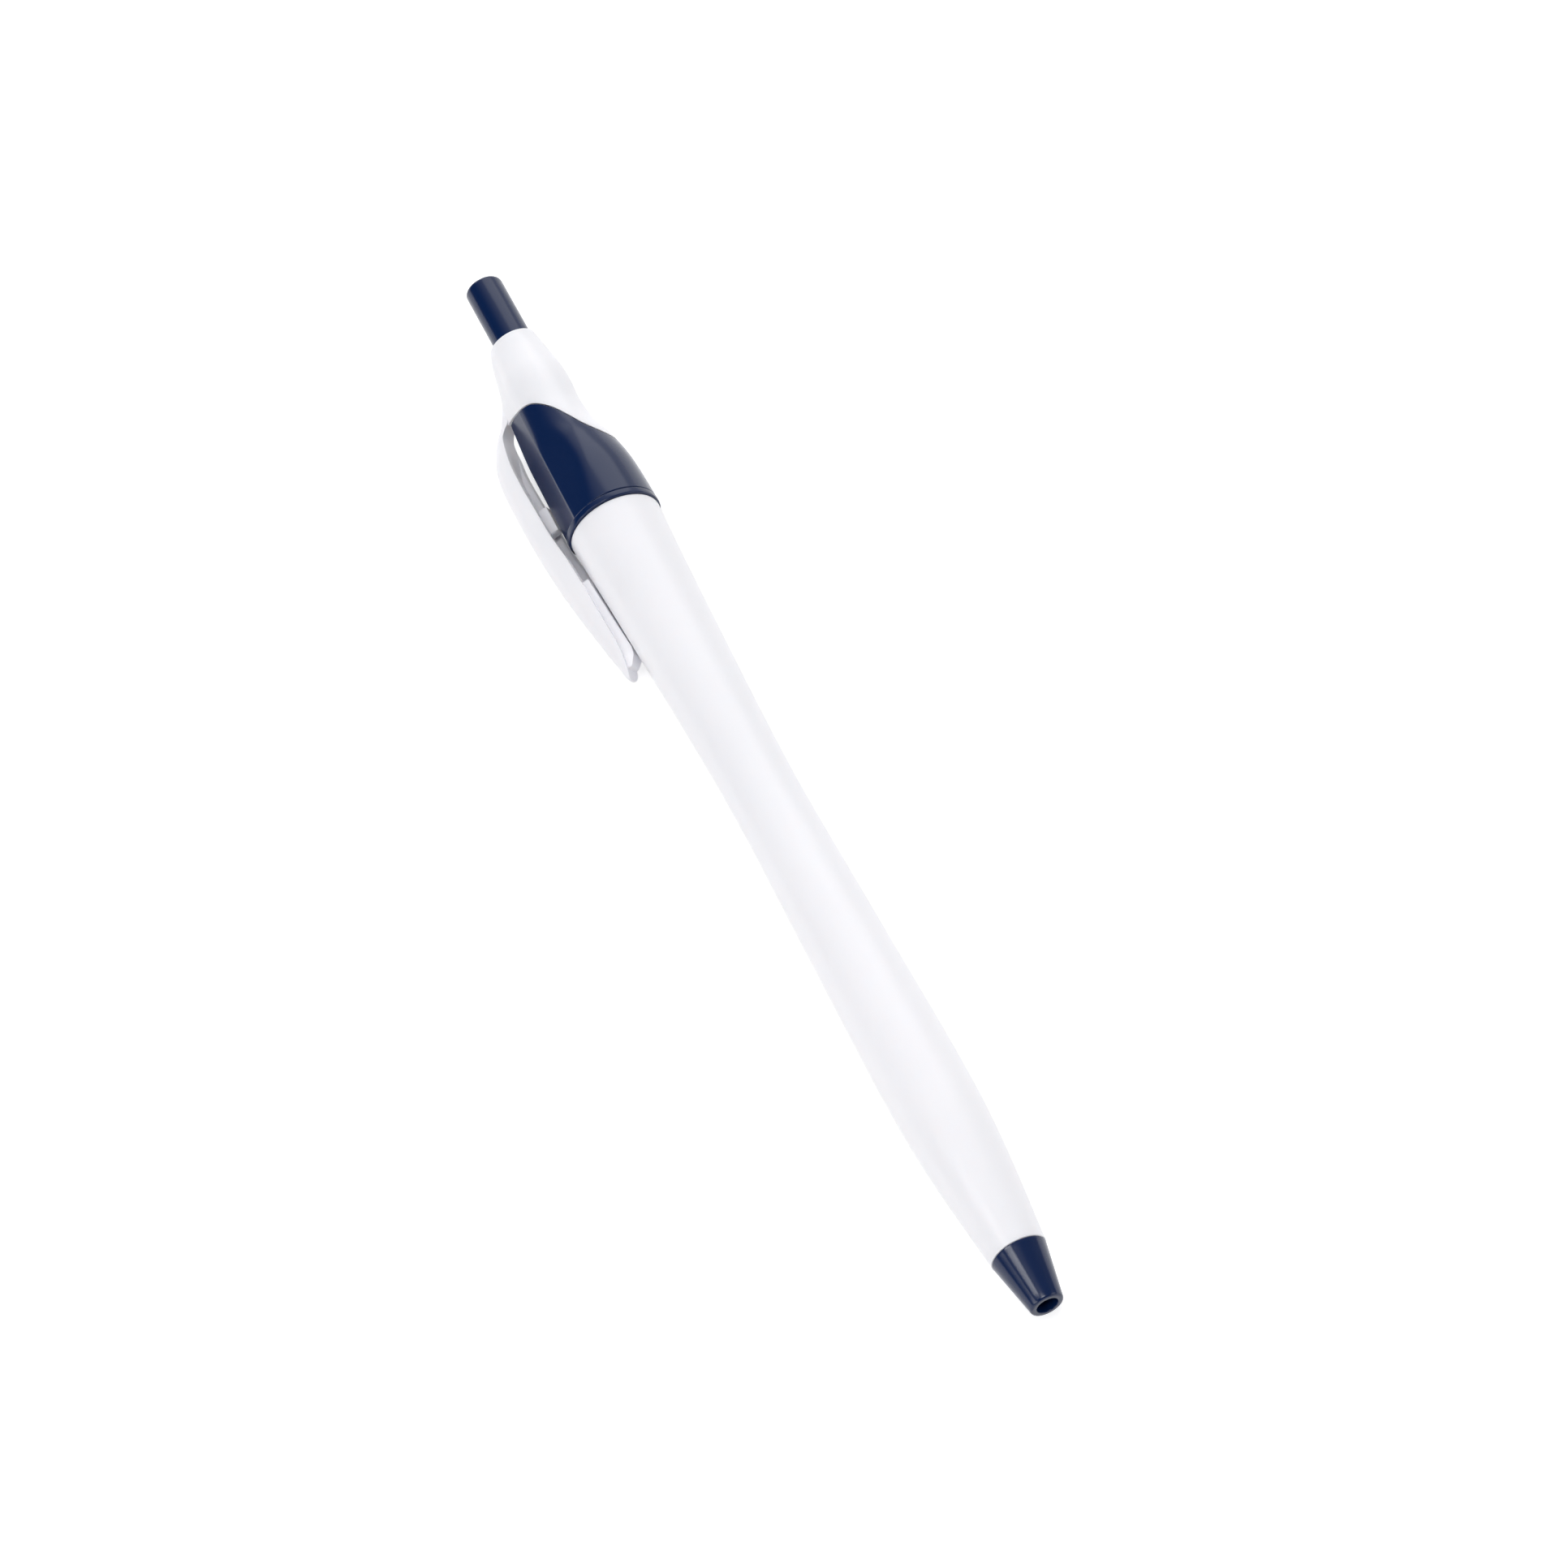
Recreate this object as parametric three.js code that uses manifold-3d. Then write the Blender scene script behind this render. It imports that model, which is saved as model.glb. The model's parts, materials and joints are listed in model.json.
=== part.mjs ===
// A retractable ballpoint pen with a push button, a pocket clip and a waisted barrel.
// Millimetres, +Z up. The pen axis is X: the button's push face is at X = 0 and the nose at +X.
// The pen lies as it does on a table, on its collar and on one edge of its clip, which points to -Y.
import * as THREE from "three";
import { mergeVertices } from "three/addons/utils/BufferGeometryUtils.js";
import Module from "manifold-3d";

const wasm = await Module();
wasm.setup();

// Driving dimensions, stations along the pen axis
const buttonExposed = 8.4; // push face to the crown's rim
const crownLength = 18.2; // rim to the tip of the crown's tail, at the back
const collarEnd = 35.0; // where the coloured sleeve meets the barrel
const barrelLength = 98.3;
const noseLength = 6.5; // the part of the nose cone that shows
const pressTravel = 6.0; // full stroke of the button

// Driving dimensions, radii of the outside
const buttonRadius = 2.12;
const rimRadius = 2.52;
const rimCrest = 2.9; // the rim's reach on the clip side
const bulgeRadius = 3.38;
const neckRadius = 3.2;
const collarRadius = 5.35;
const barrelTopRadius = 5.15;
const waistRadius = 3.85;
const gripRadius = 4.5;
const noseJointRadius = 3.06;
const noseEndRadius = 2.03;

// Walls, fits and seats
const slideFit = 0.1; // radial clearance of what slides
const pressFit = 0.05; // radial clearance modelled at a press fit
const seatGap = 0.1; // face to face gap between assembled pieces
const partingGap = 0.3; // gap at a cut between sculpted pieces
const cutOverrun = 1; // how far a cutter passes the faces it opens

// Facets of a full turn
const outerFacets = 48;
const innerFacets = 24;

// Stations worked out from the driving dimensions
const rimStation = buttonExposed;
const tailStation = rimStation + crownLength;
const barrelStart = collarEnd + seatGap;
const noseJoint = barrelStart + barrelLength;
const noseSeat = noseJoint + seatGap;
const penLength = noseSeat + noseLength;

// Geometry helpers

// A closed three.js geometry as a manifold-3d solid, turned face out if its outline ran the other way.
function solidOf(geometry) {
  const bare = geometry.clone();
  bare.deleteAttribute("normal");
  bare.deleteAttribute("uv");
  const merged = mergeVertices(bare, 1e-4);
  const triVerts = new Uint32Array(merged.index.array);
  const signedVolume = enclosedVolume(merged.attributes.position.array, triVerts);
  if (signedVolume < 0) {
    for (let i = 0; i < triVerts.length; i += 3) {
      [triVerts[i + 1], triVerts[i + 2]] = [triVerts[i + 2], triVerts[i + 1]];
    }
  }
  const vertProperties = merged.attributes.position.array;
  return new wasm.Manifold(new wasm.Mesh({ numProp: 3, vertProperties, triVerts }));
}

// The signed volume inside a triangle mesh, from the tetrahedra between each face and the origin.
function enclosedVolume(position, index) {
  const [a, b, c] = [new THREE.Vector3(), new THREE.Vector3(), new THREE.Vector3()];
  let volume = 0;
  for (let i = 0; i < index.length; i += 3) {
    a.fromArray(position, 3 * index[i]);
    b.fromArray(position, 3 * index[i + 1]);
    c.fromArray(position, 3 * index[i + 2]);
    volume += a.dot(b.cross(c)) / 6;
  }
  return volume;
}

// A manifold-3d solid as a three.js geometry.
function geometryOf(solid) {
  const mesh = solid.getMesh();
  const position = new Float32Array(mesh.numVert * 3);
  for (let i = 0; i < mesh.numVert; i++) {
    const start = i * mesh.numProp;
    position.set(mesh.vertProperties.subarray(start, start + 3), i * 3);
  }
  const geometry = new THREE.BufferGeometry();
  geometry.setAttribute("position", new THREE.BufferAttribute(position, 3));
  geometry.setIndex(new THREE.BufferAttribute(new Uint32Array(mesh.triVerts), 1));
  geometry.computeVertexNormals();
  return geometry;
}

// Revolves a closed outline of [station, radius] points about the pen axis.
function turned(outline, facets = outerFacets) {
  const points = [...outline, outline[0]].map(([x, r]) => new THREE.Vector2(r, x));
  return solidOf(new THREE.LatheGeometry(points, facets).rotateZ(-Math.PI / 2));
}

// A round bar or a bore cutter: its outline starts and ends on the axis.
function rod(outline, facets = innerFacets) {
  const first = [outline[0][0], 0];
  const last = [outline.at(-1)[0], 0];
  const points = [first, ...outline, last].map(([x, r]) => new THREE.Vector2(r, x));
  return solidOf(new THREE.LatheGeometry(points, facets).rotateZ(-Math.PI / 2));
}

// Joins rings of equally many points into one closed skin with a flat fan over each end.
function lofted(rings) {
  const count = rings[0].length;
  const position = rings.flat(2);
  const index = [];
  for (let ring = 0; ring + 1 < rings.length; ring++) {
    for (let i = 0; i < count; i++) {
      const a = ring * count + i;
      const b = ring * count + ((i + 1) % count);
      index.push(a, b, a + count, b, b + count, a + count);
    }
  }
  for (const [ring, turn] of [[0, -1], [rings.length - 1, 1]]) {
    const centre = position.length / 3;
    for (const axis of [0, 1, 2]) {
      position.push(rings[ring].reduce((sum, p) => sum + p[axis], 0) / count);
    }
    for (let i = 0; i < count; i++) {
      const a = ring * count + i;
      const b = ring * count + ((i + 1) % count);
      index.push(centre, ...(turn > 0 ? [a, b] : [b, a]));
    }
  }
  const geometry = new THREE.BufferGeometry();
  geometry.setAttribute("position", new THREE.Float32BufferAttribute(position, 3));
  geometry.setIndex(index);
  return solidOf(geometry);
}

// A ring about the pen axis whose two end faces may rise and fall with the angle.
function castleRing(innerRadius, outerRadius, startAt, endAt, samples) {
  const position = [];
  const index = [];
  for (let i = 0; i < samples; i++) {
    const angle = (i / samples) * 2 * Math.PI;
    const corners = [
      [startAt(angle), innerRadius],
      [startAt(angle), outerRadius],
      [endAt(angle), outerRadius],
      [endAt(angle), innerRadius],
    ];
    for (const [x, r] of corners) position.push(x, -r * Math.cos(angle), -r * Math.sin(angle));
    const next = ((i + 1) % samples) * 4;
    for (let c = 0; c < 4; c++) {
      const d = (c + 1) % 4;
      index.push(i * 4 + c, i * 4 + d, next + c, i * 4 + d, next + d, next + c);
    }
  }
  const geometry = new THREE.BufferGeometry();
  geometry.setAttribute("position", new THREE.Float32BufferAttribute(position, 3));
  geometry.setIndex(index);
  return solidOf(geometry);
}

// A key along the axis: a bar of the given width between two radii, at an angle from the clip.
function key(innerRadius, outerRadius, width, start, end, angle) {
  const height = outerRadius - innerRadius;
  const bar = new THREE.BoxGeometry(end - start, height, width);
  bar.translate((start + end) / 2, -(innerRadius + outerRadius) / 2, 0);
  return solidOf(bar.rotateX(angle));
}

// A smooth curve through [station, value] points, read at any station between them.
function curveThrough(points) {
  const curve = new THREE.SplineCurve(points.map(([x, y]) => new THREE.Vector2(x, y)));
  const samples = curve.getPoints(40 * points.length);
  return (x) => {
    const after = samples.findIndex((p) => p.x >= x);
    if (after <= 0) return after === 0 ? samples[0].y : samples.at(-1).y;
    const [p, q] = [samples[after - 1], samples[after]];
    return p.y + ((q.y - p.y) * (x - p.x)) / (q.x - p.x);
  };
}

// Evenly spaced stations from start to end, both included.
function stations(start, end, count) {
  return Array.from({ length: count + 1 }, (_, i) => start + ((end - start) * i) / count);
}

function joined(...solids) {
  return solids.reduce((whole, next) => whole.add(next));
}

function cutFrom(body, ...cutters) {
  return cutters.reduce((rest, next) => rest.subtract(next), body);
}

// Click mechanism: a toothed button, a ribbed rotor and a fluted guide inside the sleeve
const teeth = 8;
const rotorRibs = teeth / 2;
const toothHeight = 0.8;
const toothPitch = (2 * Math.PI) / teeth;
const toothLag = 0.22 * toothPitch; // how far the rotor's teeth wait behind the button's
const splineWidth = 0.75;
const guideStart = 27.3;
const guideLength = 8.1;
const guideBore = 3.05; // floor of the deep grooves
const shallowBore = 2.8; // floor of the shallow grooves
const guideInner = 2.5; // crest of the guide's ribs
const buttonEnd = 31.0;
const buttonFlange = guideInner - slideFit;
const buttonSpline = shallowBore - slideFit;
const buttonBore = 1.5;
const rotorRadius = guideInner - 1.5 * slideFit;
const rotorRib = guideBore - slideFit;
const rotorSpigot = buttonBore - slideFit;
const rotorLength = 8.0;
const rotorRibLength = 4.0;

// Refill: a standard plastic refill, 3 mm across and about 107 mm long
const refillRadius = 1.5;
const refillBore = 0.95;
const refillSocketDepth = 3.2; // how deep the refill sits in the rotor
const pointRecess = 2.4; // how far the ball waits inside the nose at rest
const pointRadius = 1.15;
const pointLength = 11.0;
const ballRadius = 0.5;
const ballShowing = 0.22; // how far the ball stands out of its socket
const earStation = 104.5; // crimped ears that the spring pushes on
const earRadius = 2.05;
const earLength = 1.2;
const holderLength = 6.0;

// Nose cone and spring
const noseBore = 1.27;
const noseEdge = 0.35; // rounding of the nose's end
const noseSpigotRadius = 2.2;
const noseSpigotLength = 6.0;
const springMeanRadius = 1.93;
const springWire = 0.34;
const springTurns = 12;

const tooth = (angle) => {
  const phase = (((angle / toothPitch) % 1) + 1) % 1;
  return toothHeight * (1 - Math.abs(2 * phase - 1));
};
const buttonTeeth = (angle) => buttonEnd - tooth(angle);
const rotorLagHeight = (2 * toothHeight * toothLag) / toothPitch;
const rotorTeeth = (angle) =>
  buttonEnd + 2 * slideFit + rotorLagHeight - tooth(angle - toothLag);
const guideTeeth = (angle) => guideStart + guideLength - tooth(angle);
const rotorEnd = buttonEnd + rotorLength;
const refillTop = rotorEnd - refillSocketDepth;
const pointTip = penLength - pointRecess;
const holderEnd = pointTip - pointLength;
const springSeat = noseSeat - noseSpigotLength;

// Outside of the crown and sleeve

// The back and sides: a round section whose radius swells, necks in and flares to the collar.
const bodyRadius = curveThrough([
  [rimStation, rimRadius],
  [rimStation + 3.4, (rimRadius + bulgeRadius) / 2 + 0.07],
  [rimStation + 6.6, bulgeRadius + 0.03],
  [rimStation + 10.3, neckRadius],
  [rimStation + 13.4, neckRadius + 0.4],
  [rimStation + 16.7, collarRadius - 0.85],
  [rimStation + 20.6, collarRadius - 0.2],
  [collarEnd, collarRadius],
]);

// The keel under the clip: two flat facets run from a ridge on the round body to a narrow crest.
const rimToKeel = 8.5;
const keelStart = rimStation + rimToKeel;
const ridgeReach = curveThrough([
  [rimStation, 2.7],
  [keelStart, 2.8],
  [rimStation + 13.4, 2.84],
  [rimStation + 16.7, 2.62],
  [rimStation + 20.6, 2.34],
  [collarEnd, 2.22],
]);
const sleeveCrest = curveThrough([
  [keelStart - cutOverrun, 4.55],
  [rimStation + 13.4, 5.05],
  [rimStation + 16.7, 5.17],
  [collarEnd, collarRadius - 0.05],
]);
const sleeveCrestHalf = (x) => 0.45 + (0.45 * (x - keelStart)) / (collarEnd - keelStart);
const crownCrest = curveThrough([
  [rimStation, rimCrest],
  [rimStation + 1.8, 3.5],
  [rimStation + 5.1, 4.26],
  [rimStation + 6.6, 4.62],
  [keelStart, 5.42],
]);
const crownCrestHalf = (x) => 0.5 + (1.0 * (x - rimStation)) / (keelStart - rimStation);

// One section of the keeled body, as a ring of points about the axis. The clip's direction is -Y.
// Softness 1 rounds the keel into an egg shape and 0 leaves its flat facets.
function keeledSection(x, radius, crest, crestHalf, softness = 0) {
  const arcSteps = outerFacets - 8;
  const ridge = Math.acos(Math.min(ridgeReach(x) / radius, 0.95));
  const half = Math.min(crestHalf, radius * Math.sin(ridge) * 0.98);
  const ring = [[x, -crest, 0], [x, -crest, half]];
  const facetMiddle = [
    (crest + radius * Math.cos(ridge)) / 2,
    (half + radius * Math.sin(ridge)) / 2,
  ];
  ring.push([x, -facetMiddle[0], facetMiddle[1]]);
  for (let i = 0; i <= arcSteps; i++) {
    const angle = ridge + ((2 * Math.PI - 2 * ridge) * i) / arcSteps;
    ring.push([x, -radius * Math.cos(angle), radius * Math.sin(angle)]);
  }
  ring.push([x, -facetMiddle[0], -facetMiddle[1]]);
  ring.push([x, -crest, -half]);
  return ring.map(([, y, z]) => {
    const reach = Math.hypot(y, z);
    const towardsClip = (1 - y / reach) / 2;
    const egg = radius + (crest - radius) * towardsClip ** 3;
    const scale = (reach + (egg - reach) * softness) / reach;
    return [x, y * scale, z * scale];
  });
}

// The oblique cut between crown and sleeve, seen from the side: [station, distance towards the clip].
const cutCurve = new THREE.SplineCurve(
  [
    [keelStart - 0.2, 7.2],
    [keelStart - 0.1, 4.2],
    [rimStation + 8.9, 2.6],
    [rimStation + 9.7, 0.65],
    [rimStation + 11.5, -1.05],
    [rimStation + 13.5, -2.2],
    [rimStation + 15.7, -3.35],
    [tailStation, -5.2],
    [tailStation + 0.6, -6.4],
  ].map(([x, y]) => new THREE.Vector2(x, -y)),
);

// A block that holds everything on the nose's side of the oblique cut, moved along by a shift.
function beyondCut(shift) {
  const edge = cutCurve.getPoints(28).map((p) => new THREE.Vector2(p.x + shift, p.y));
  const shape = new THREE.Shape([
    ...edge,
    new THREE.Vector2(collarEnd + 5, edge.at(-1).y),
    new THREE.Vector2(collarEnd + 5, edge[0].y),
  ]);
  const depth = 4 * collarRadius;
  const block = new THREE.ExtrudeGeometry(shape, { depth, bevelEnabled: false });
  return solidOf(block.translate(0, 0, -depth / 2));
}

// Crown: the white cap that holds the button, with its tail down the back
const crownBore = buttonRadius + slideFit;
const neckOuter = 2.62; // the sleeve's neck, inside the crown
const neckStart = rimStation + 5.6;
const rimChamfer = 0.2;

function crown() {
  const softness = (x) => Math.max(0, (keelStart - x) / (keelStart - rimStation));
  const sections = stations(rimStation + rimChamfer, tailStation + cutOverrun, 20).map((x) =>
    keeledSection(x, bodyRadius(x), crownCrest(x), crownCrestHalf(x), softness(x)),
  );
  const rim = keeledSection(
    rimStation,
    rimRadius - rimChamfer,
    rimCrest - rimChamfer,
    crownCrestHalf(rimStation),
    1,
  );
  const boreOutline = [
    [rimStation - cutOverrun, crownBore],
    [neckStart - seatGap, crownBore],
    [neckStart - seatGap, neckOuter + pressFit],
    [tailStation + 2 * cutOverrun, neckOuter + pressFit],
  ];
  return cutFrom(lofted([rim, ...sections]), rod(boreOutline, outerFacets), beyondCut(0));
}

// Sleeve: the coloured insert that shows below the crown, guides the mechanism and plugs the barrel
const collarBand = 1.2; // height of the round band at the sleeve's foot
const bandGroove = 0.3;
const bandGrooveDepth = 0.25;
const sleeveSpigotRadius = 3.72;
const sleeveSpigotLength = 10.0;

function sleeve() {
  const bandTop = collarEnd - collarBand;
  const flared = stations(keelStart - cutOverrun, bandTop - bandGroove, 16).map((x) =>
    keeledSection(x, bodyRadius(x), sleeveCrest(x), sleeveCrestHalf(x)),
  );
  const shell = lofted(flared).intersect(beyondCut(partingGap));
  const core = rod(
    [
      [neckStart, neckOuter],
      [bandTop - bandGroove - 0.5, neckOuter],
      [bandTop - bandGroove - 0.5, collarRadius - bandGrooveDepth - 0.5],
      [bandTop - bandGroove, collarRadius - bandGrooveDepth],
      [bandTop, collarRadius - bandGrooveDepth],
      [bandTop + 0.15, collarRadius],
      [collarEnd - 0.15, collarRadius],
      [collarEnd, collarRadius - 0.15],
      [collarEnd, sleeveSpigotRadius],
      [collarEnd + sleeveSpigotLength - 0.5, sleeveSpigotRadius],
      [collarEnd + sleeveSpigotLength, sleeveSpigotRadius - 0.3],
    ],
    outerFacets,
  );
  const bore = rod(
    [
      [neckStart - cutOverrun, crownBore],
      [guideStart, crownBore],
      [guideStart, guideBore],
      [collarEnd + sleeveSpigotLength + cutOverrun, guideBore],
    ],
    outerFacets,
  );
  const guide = castleRing(
    guideInner,
    guideBore + slideFit,
    () => guideStart - slideFit,
    guideTeeth,
    outerFacets,
  );
  const grooves = [];
  for (let i = 0; i < teeth; i++) {
    const floor = i % 2 === 0 ? guideBore : shallowBore;
    const width = splineWidth + 2 * slideFit;
    const end = guideStart + guideLength + cutOverrun;
    grooves.push(key(guideInner - 0.4, floor, width, guideStart, end, (i + 0.5) * toothPitch));
  }
  return cutFrom(joined(cutFrom(joined(shell, core), bore), guide), ...grooves);
}

// Push button: it slides in the crown and carries the driving teeth
const buttonEdge = 0.45; // rounding of the push face's edge

function pushButton() {
  const edge = [0.1, 0.35, 0.65, 0.9].map((turn) => {
    const angle = (turn * Math.PI) / 2;
    return [
      buttonEdge * (1 - Math.sin(angle)),
      buttonRadius - buttonEdge * (1 - Math.cos(angle)),
    ];
  });
  const flangeStart = guideStart + seatGap;
  const body = rod(
    [
      [0, buttonRadius - buttonEdge],
      ...edge.reverse(),
      [buttonEdge, buttonRadius],
      [flangeStart, buttonRadius],
      [flangeStart, buttonFlange],
      [buttonEnd - toothHeight - 0.1, buttonFlange],
    ],
    outerFacets,
  );
  const crownTeeth = castleRing(
    buttonBore,
    buttonFlange,
    () => buttonEnd - toothHeight - 0.6,
    buttonTeeth,
    outerFacets,
  );
  const hollow = rod([
    [buttonEnd - 12, buttonBore - 0.2],
    [buttonEnd - 6, buttonBore],
    [buttonEnd + cutOverrun, buttonBore],
  ]);
  const splines = [];
  for (let i = 0; i < teeth; i++) {
    const end = buttonEnd - toothHeight - 0.2;
    const angle = (i + 0.5) * toothPitch;
    splines.push(key(buttonFlange - 0.2, buttonSpline, splineWidth, flangeStart, end, angle));
  }
  return cutFrom(joined(body, crownTeeth, ...splines), hollow);
}

// Rotor: the cam that turns one step each click and holds the refill's end
function rotor() {
  const rest = () => rotorEnd;
  const body = castleRing(rotorSpigot - 0.2, rotorRadius, rotorTeeth, rest, outerFacets);
  const ribEnd = () => buttonEnd + rotorRibLength;
  const ribRing = castleRing(rotorRadius - 0.2, rotorRib, rotorTeeth, ribEnd, outerFacets);
  const ribs = [];
  for (let i = 0; i < rotorRibs; i++) {
    const angle = (2 * i + 0.5) * toothPitch;
    const end = buttonEnd + rotorRibLength + cutOverrun;
    const bar = key(rotorRadius - 0.3, rotorRib + 0.2, splineWidth, guideStart, end, angle);
    ribs.push(ribRing.intersect(bar));
  }
  const spigot = rod([
    [buttonEnd - 2.6, rotorSpigot - 0.35],
    [buttonEnd - 2.2, rotorSpigot],
    [rotorEnd - 0.3, rotorSpigot],
  ]);
  const socket = rod([
    [refillTop - seatGap, refillRadius + pressFit],
    [rotorEnd + cutOverrun, refillRadius + pressFit],
  ]);
  return cutFrom(joined(body, spigot, ...ribs), socket);
}

// Refill pieces
function refillTube() {
  const tube = turned(
    [
      [refillTop, refillBore],
      [refillTop, refillRadius],
      [holderEnd, refillRadius],
      [holderEnd, refillBore],
    ],
    innerFacets,
  );
  const ears = [0, Math.PI].map((angle) =>
    key(refillBore + 0.2, earRadius, 0.9, earStation - earLength, earStation, angle),
  );
  return joined(tube, ...ears);
}

const inkHeadroom = 10.2; // empty length of the tube behind the ink
const inkStart = refillTop + inkHeadroom;
const followerLength = 4.0;
const inkRadius = refillBore - slideFit;

function inkColumn() {
  return rod([
    [inkStart, inkRadius],
    [holderEnd - holderLength - seatGap, inkRadius],
  ]);
}

function greaseFollower() {
  return rod([
    [inkStart - seatGap - followerLength, inkRadius],
    [inkStart - seatGap, inkRadius],
  ]);
}

// The plastic plug that holds the metal point in the end of the tube.
function pointHolder() {
  return turned(
    [
      [holderEnd - holderLength, 0.45],
      [holderEnd - holderLength, inkRadius],
      [holderEnd + seatGap, inkRadius],
      [holderEnd + seatGap, refillRadius],
      [holderEnd + 0.9, refillRadius],
      [holderEnd + 1.4, pointRadius + 0.05],
      [holderEnd + 1.4, 0.45],
    ],
    innerFacets,
  );
}

const pointStart = holderEnd + 1.4 + seatGap;
const ballCentre = pointTip - ballRadius;
const ballSocket = ballRadius + 0.06;

function writingPoint() {
  const lip = pointTip - ballShowing;
  const lipRadius = Math.sqrt(ballSocket ** 2 - (lip - ballCentre) ** 2);
  const cup = stations(0.12 * Math.PI, Math.asin(lipRadius / ballSocket), 6);
  const seat = stations(0.12 * Math.PI, Math.PI - Math.asin(lipRadius / ballSocket), 7).map(
    (angle) => [
      ballCentre - ballSocket * Math.cos(angle),
      ballSocket * Math.sin(angle),
    ],
  );
  return turned(
    [
      [pointStart, 0.45],
      [pointStart, pointRadius],
      [pointTip - 3.0, pointRadius],
      [pointTip - 2.6, 0.95],
      [pointTip - 1.9, 0.95],
      [lip, lipRadius + 0.08],
      ...seat.reverse(),
      [seat.at(-1)[0] - 0.2, seat.at(-1)[1]],
      [seat.at(-1)[0] - 0.4, 0.3],
      [pointStart + 0.6, 0.3],
    ],
    innerFacets,
  );
}

function writingBall() {
  const ball = new THREE.SphereGeometry(ballRadius, 16, 12);
  return solidOf(ball.translate(ballCentre, 0, 0));
}

// Return spring: a compression spring with closed end turns
function returnSpring() {
  const wireRadius = springWire / 2;
  const start = earStation + wireRadius + seatGap;
  const end = springSeat - wireRadius - seatGap;
  const closePitch = springWire + 0.16;
  const closed = 1.25; // closed turns at each end
  const openPitch = (end - start - 2 * closed * closePitch) / (springTurns - 2 * closed);
  const along = (turn) => {
    const head = Math.min(turn, closed);
    const tail = Math.max(turn - (springTurns - closed), 0);
    return start + closePitch * (head + tail) + openPitch * (turn - head - tail);
  };
  const steps = springTurns * 14;
  const sides = 6;
  const rings = stations(0, springTurns, steps).map((turn) => {
    const angle = turn * 2 * Math.PI;
    return stations(0, 2 * Math.PI, sides).slice(0, sides).map((around) => {
      const radius = springMeanRadius + wireRadius * Math.cos(around);
      const x = along(turn) + wireRadius * Math.sin(around);
      return [x, radius * Math.cos(angle), radius * Math.sin(angle)];
    });
  });
  return lofted(rings);
}

// Barrel: one moulding, widest at the collar, with a waist and a swell for the fingers
const barrelCurve = curveThrough([
  [barrelStart, barrelTopRadius],
  [barrelStart + 16.4, 4.44],
  [barrelStart + 36.4, waistRadius],
  [barrelStart + 55.0, 4.13],
  [barrelStart + 75.5, gripRadius],
  [noseJoint - 12.3, gripRadius - 0.3],
  [noseJoint, noseJointRadius],
]);
const barrelWall = 1.0;
const barrelEdge = 0.2;
const barrelEndBore = noseSpigotRadius + pressFit;

function barrel() {
  const outside = stations(barrelStart + barrelEdge, noseJoint, 26).map((x) => [
    x,
    barrelCurve(x),
  ]);
  const spigotBore = sleeveSpigotRadius + pressFit;
  const spigotEnd = barrelStart + sleeveSpigotLength + seatGap;
  const waist = barrelStart + 36.4;
  const waistBore = waistRadius - barrelWall;
  const springBore = springMeanRadius + springWire / 2 + 2 * slideFit;
  return turned([
    [barrelStart, spigotBore],
    [barrelStart, barrelTopRadius - barrelEdge],
    ...outside,
    [noseJoint, barrelEndBore],
    [springSeat - seatGap, barrelEndBore],
    [springSeat - seatGap - 0.2, springBore + 0.1],
    [earStation - pressTravel, springBore + 0.2],
    [waist, waistBore],
    [spigotEnd, waistBore + 0.4],
    [spigotEnd, spigotBore],
  ]);
}

// Nose cone: a plug in the barrel's end with a rounded tip and a bore for the writing point
function noseCone() {
  const taper = stations(0, Math.PI / 2, 4).map((angle) => [
    penLength - noseEdge * (1 - Math.sin(angle)),
    noseEndRadius - noseEdge * (1 - Math.cos(angle)),
  ]);
  const refillRoom = refillRadius + slideFit;
  return turned([
    [springSeat, refillRoom],
    [springSeat, noseSpigotRadius - 0.2],
    [springSeat + 0.4, noseSpigotRadius],
    [noseSeat, noseSpigotRadius],
    [noseSeat, noseJointRadius - 0.08],
    ...taper,
    [penLength, noseBore],
    [penLength - 4.6, noseBore],
    [penLength - 5.2, refillRoom],
  ]);
}

// Clip: a channel-shaped blade with a stop lug and a grip pad, seen from the side
const clipRoot = keelStart + partingGap;
const clipEnd = 51.9;
const clipOuter = curveThrough([
  [clipRoot - cutOverrun, 5.15],
  [clipRoot, 5.68],
  [clipRoot + 1.6, 6.55],
  [clipRoot + 4.1, 8.2],
  [clipRoot + 6.7, 8.72],
  [clipRoot + 13.7, 9.02],
  [clipRoot + 21.7, 8.6],
  [clipRoot + 31.6, 7.3],
  [clipEnd - 1.0, 6.8],
  [clipEnd, 6.15],
]);
const clipInner = curveThrough([
  [clipRoot - cutOverrun, 4.55],
  [clipRoot, 5.0],
  [clipRoot + 2.3, 5.78],
  [clipRoot + 4.9, 6.27],
  [clipRoot + 8.0, 6.27],
  [clipRoot + 11.8, 6.13],
  [clipRoot + 15.5, 6.0],
  [clipRoot + 19.9, 5.65],
  [clipRoot + 28.0, 5.5],
  [clipEnd, 5.5],
]);
const clipHalfWidth = curveThrough([
  [clipRoot - cutOverrun, 1.45],
  [clipRoot, 1.5],
  [clipRoot + 4.0, 2.1],
  [clipRoot + 12.0, 2.75],
  [clipRoot + 24.0, 2.5],
  [clipRoot + 33.0, 2.0],
  [clipEnd - 0.8, 1.5],
  [clipEnd, 0.8],
]);
const clipWall = 0.8;
const clipBend = 8.0; // the strongly curved stretch behind the root
const clipTip = 2.0; // the rounded end
const padStart = 39.4;
const padEnd = clipEnd - 1.2;
const padGap = 0.3; // gap between the grip pad and the barrel
const padInset = 0.4; // how far the pad stands back from the blade's sides
const lugStart = 28.0;
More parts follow.
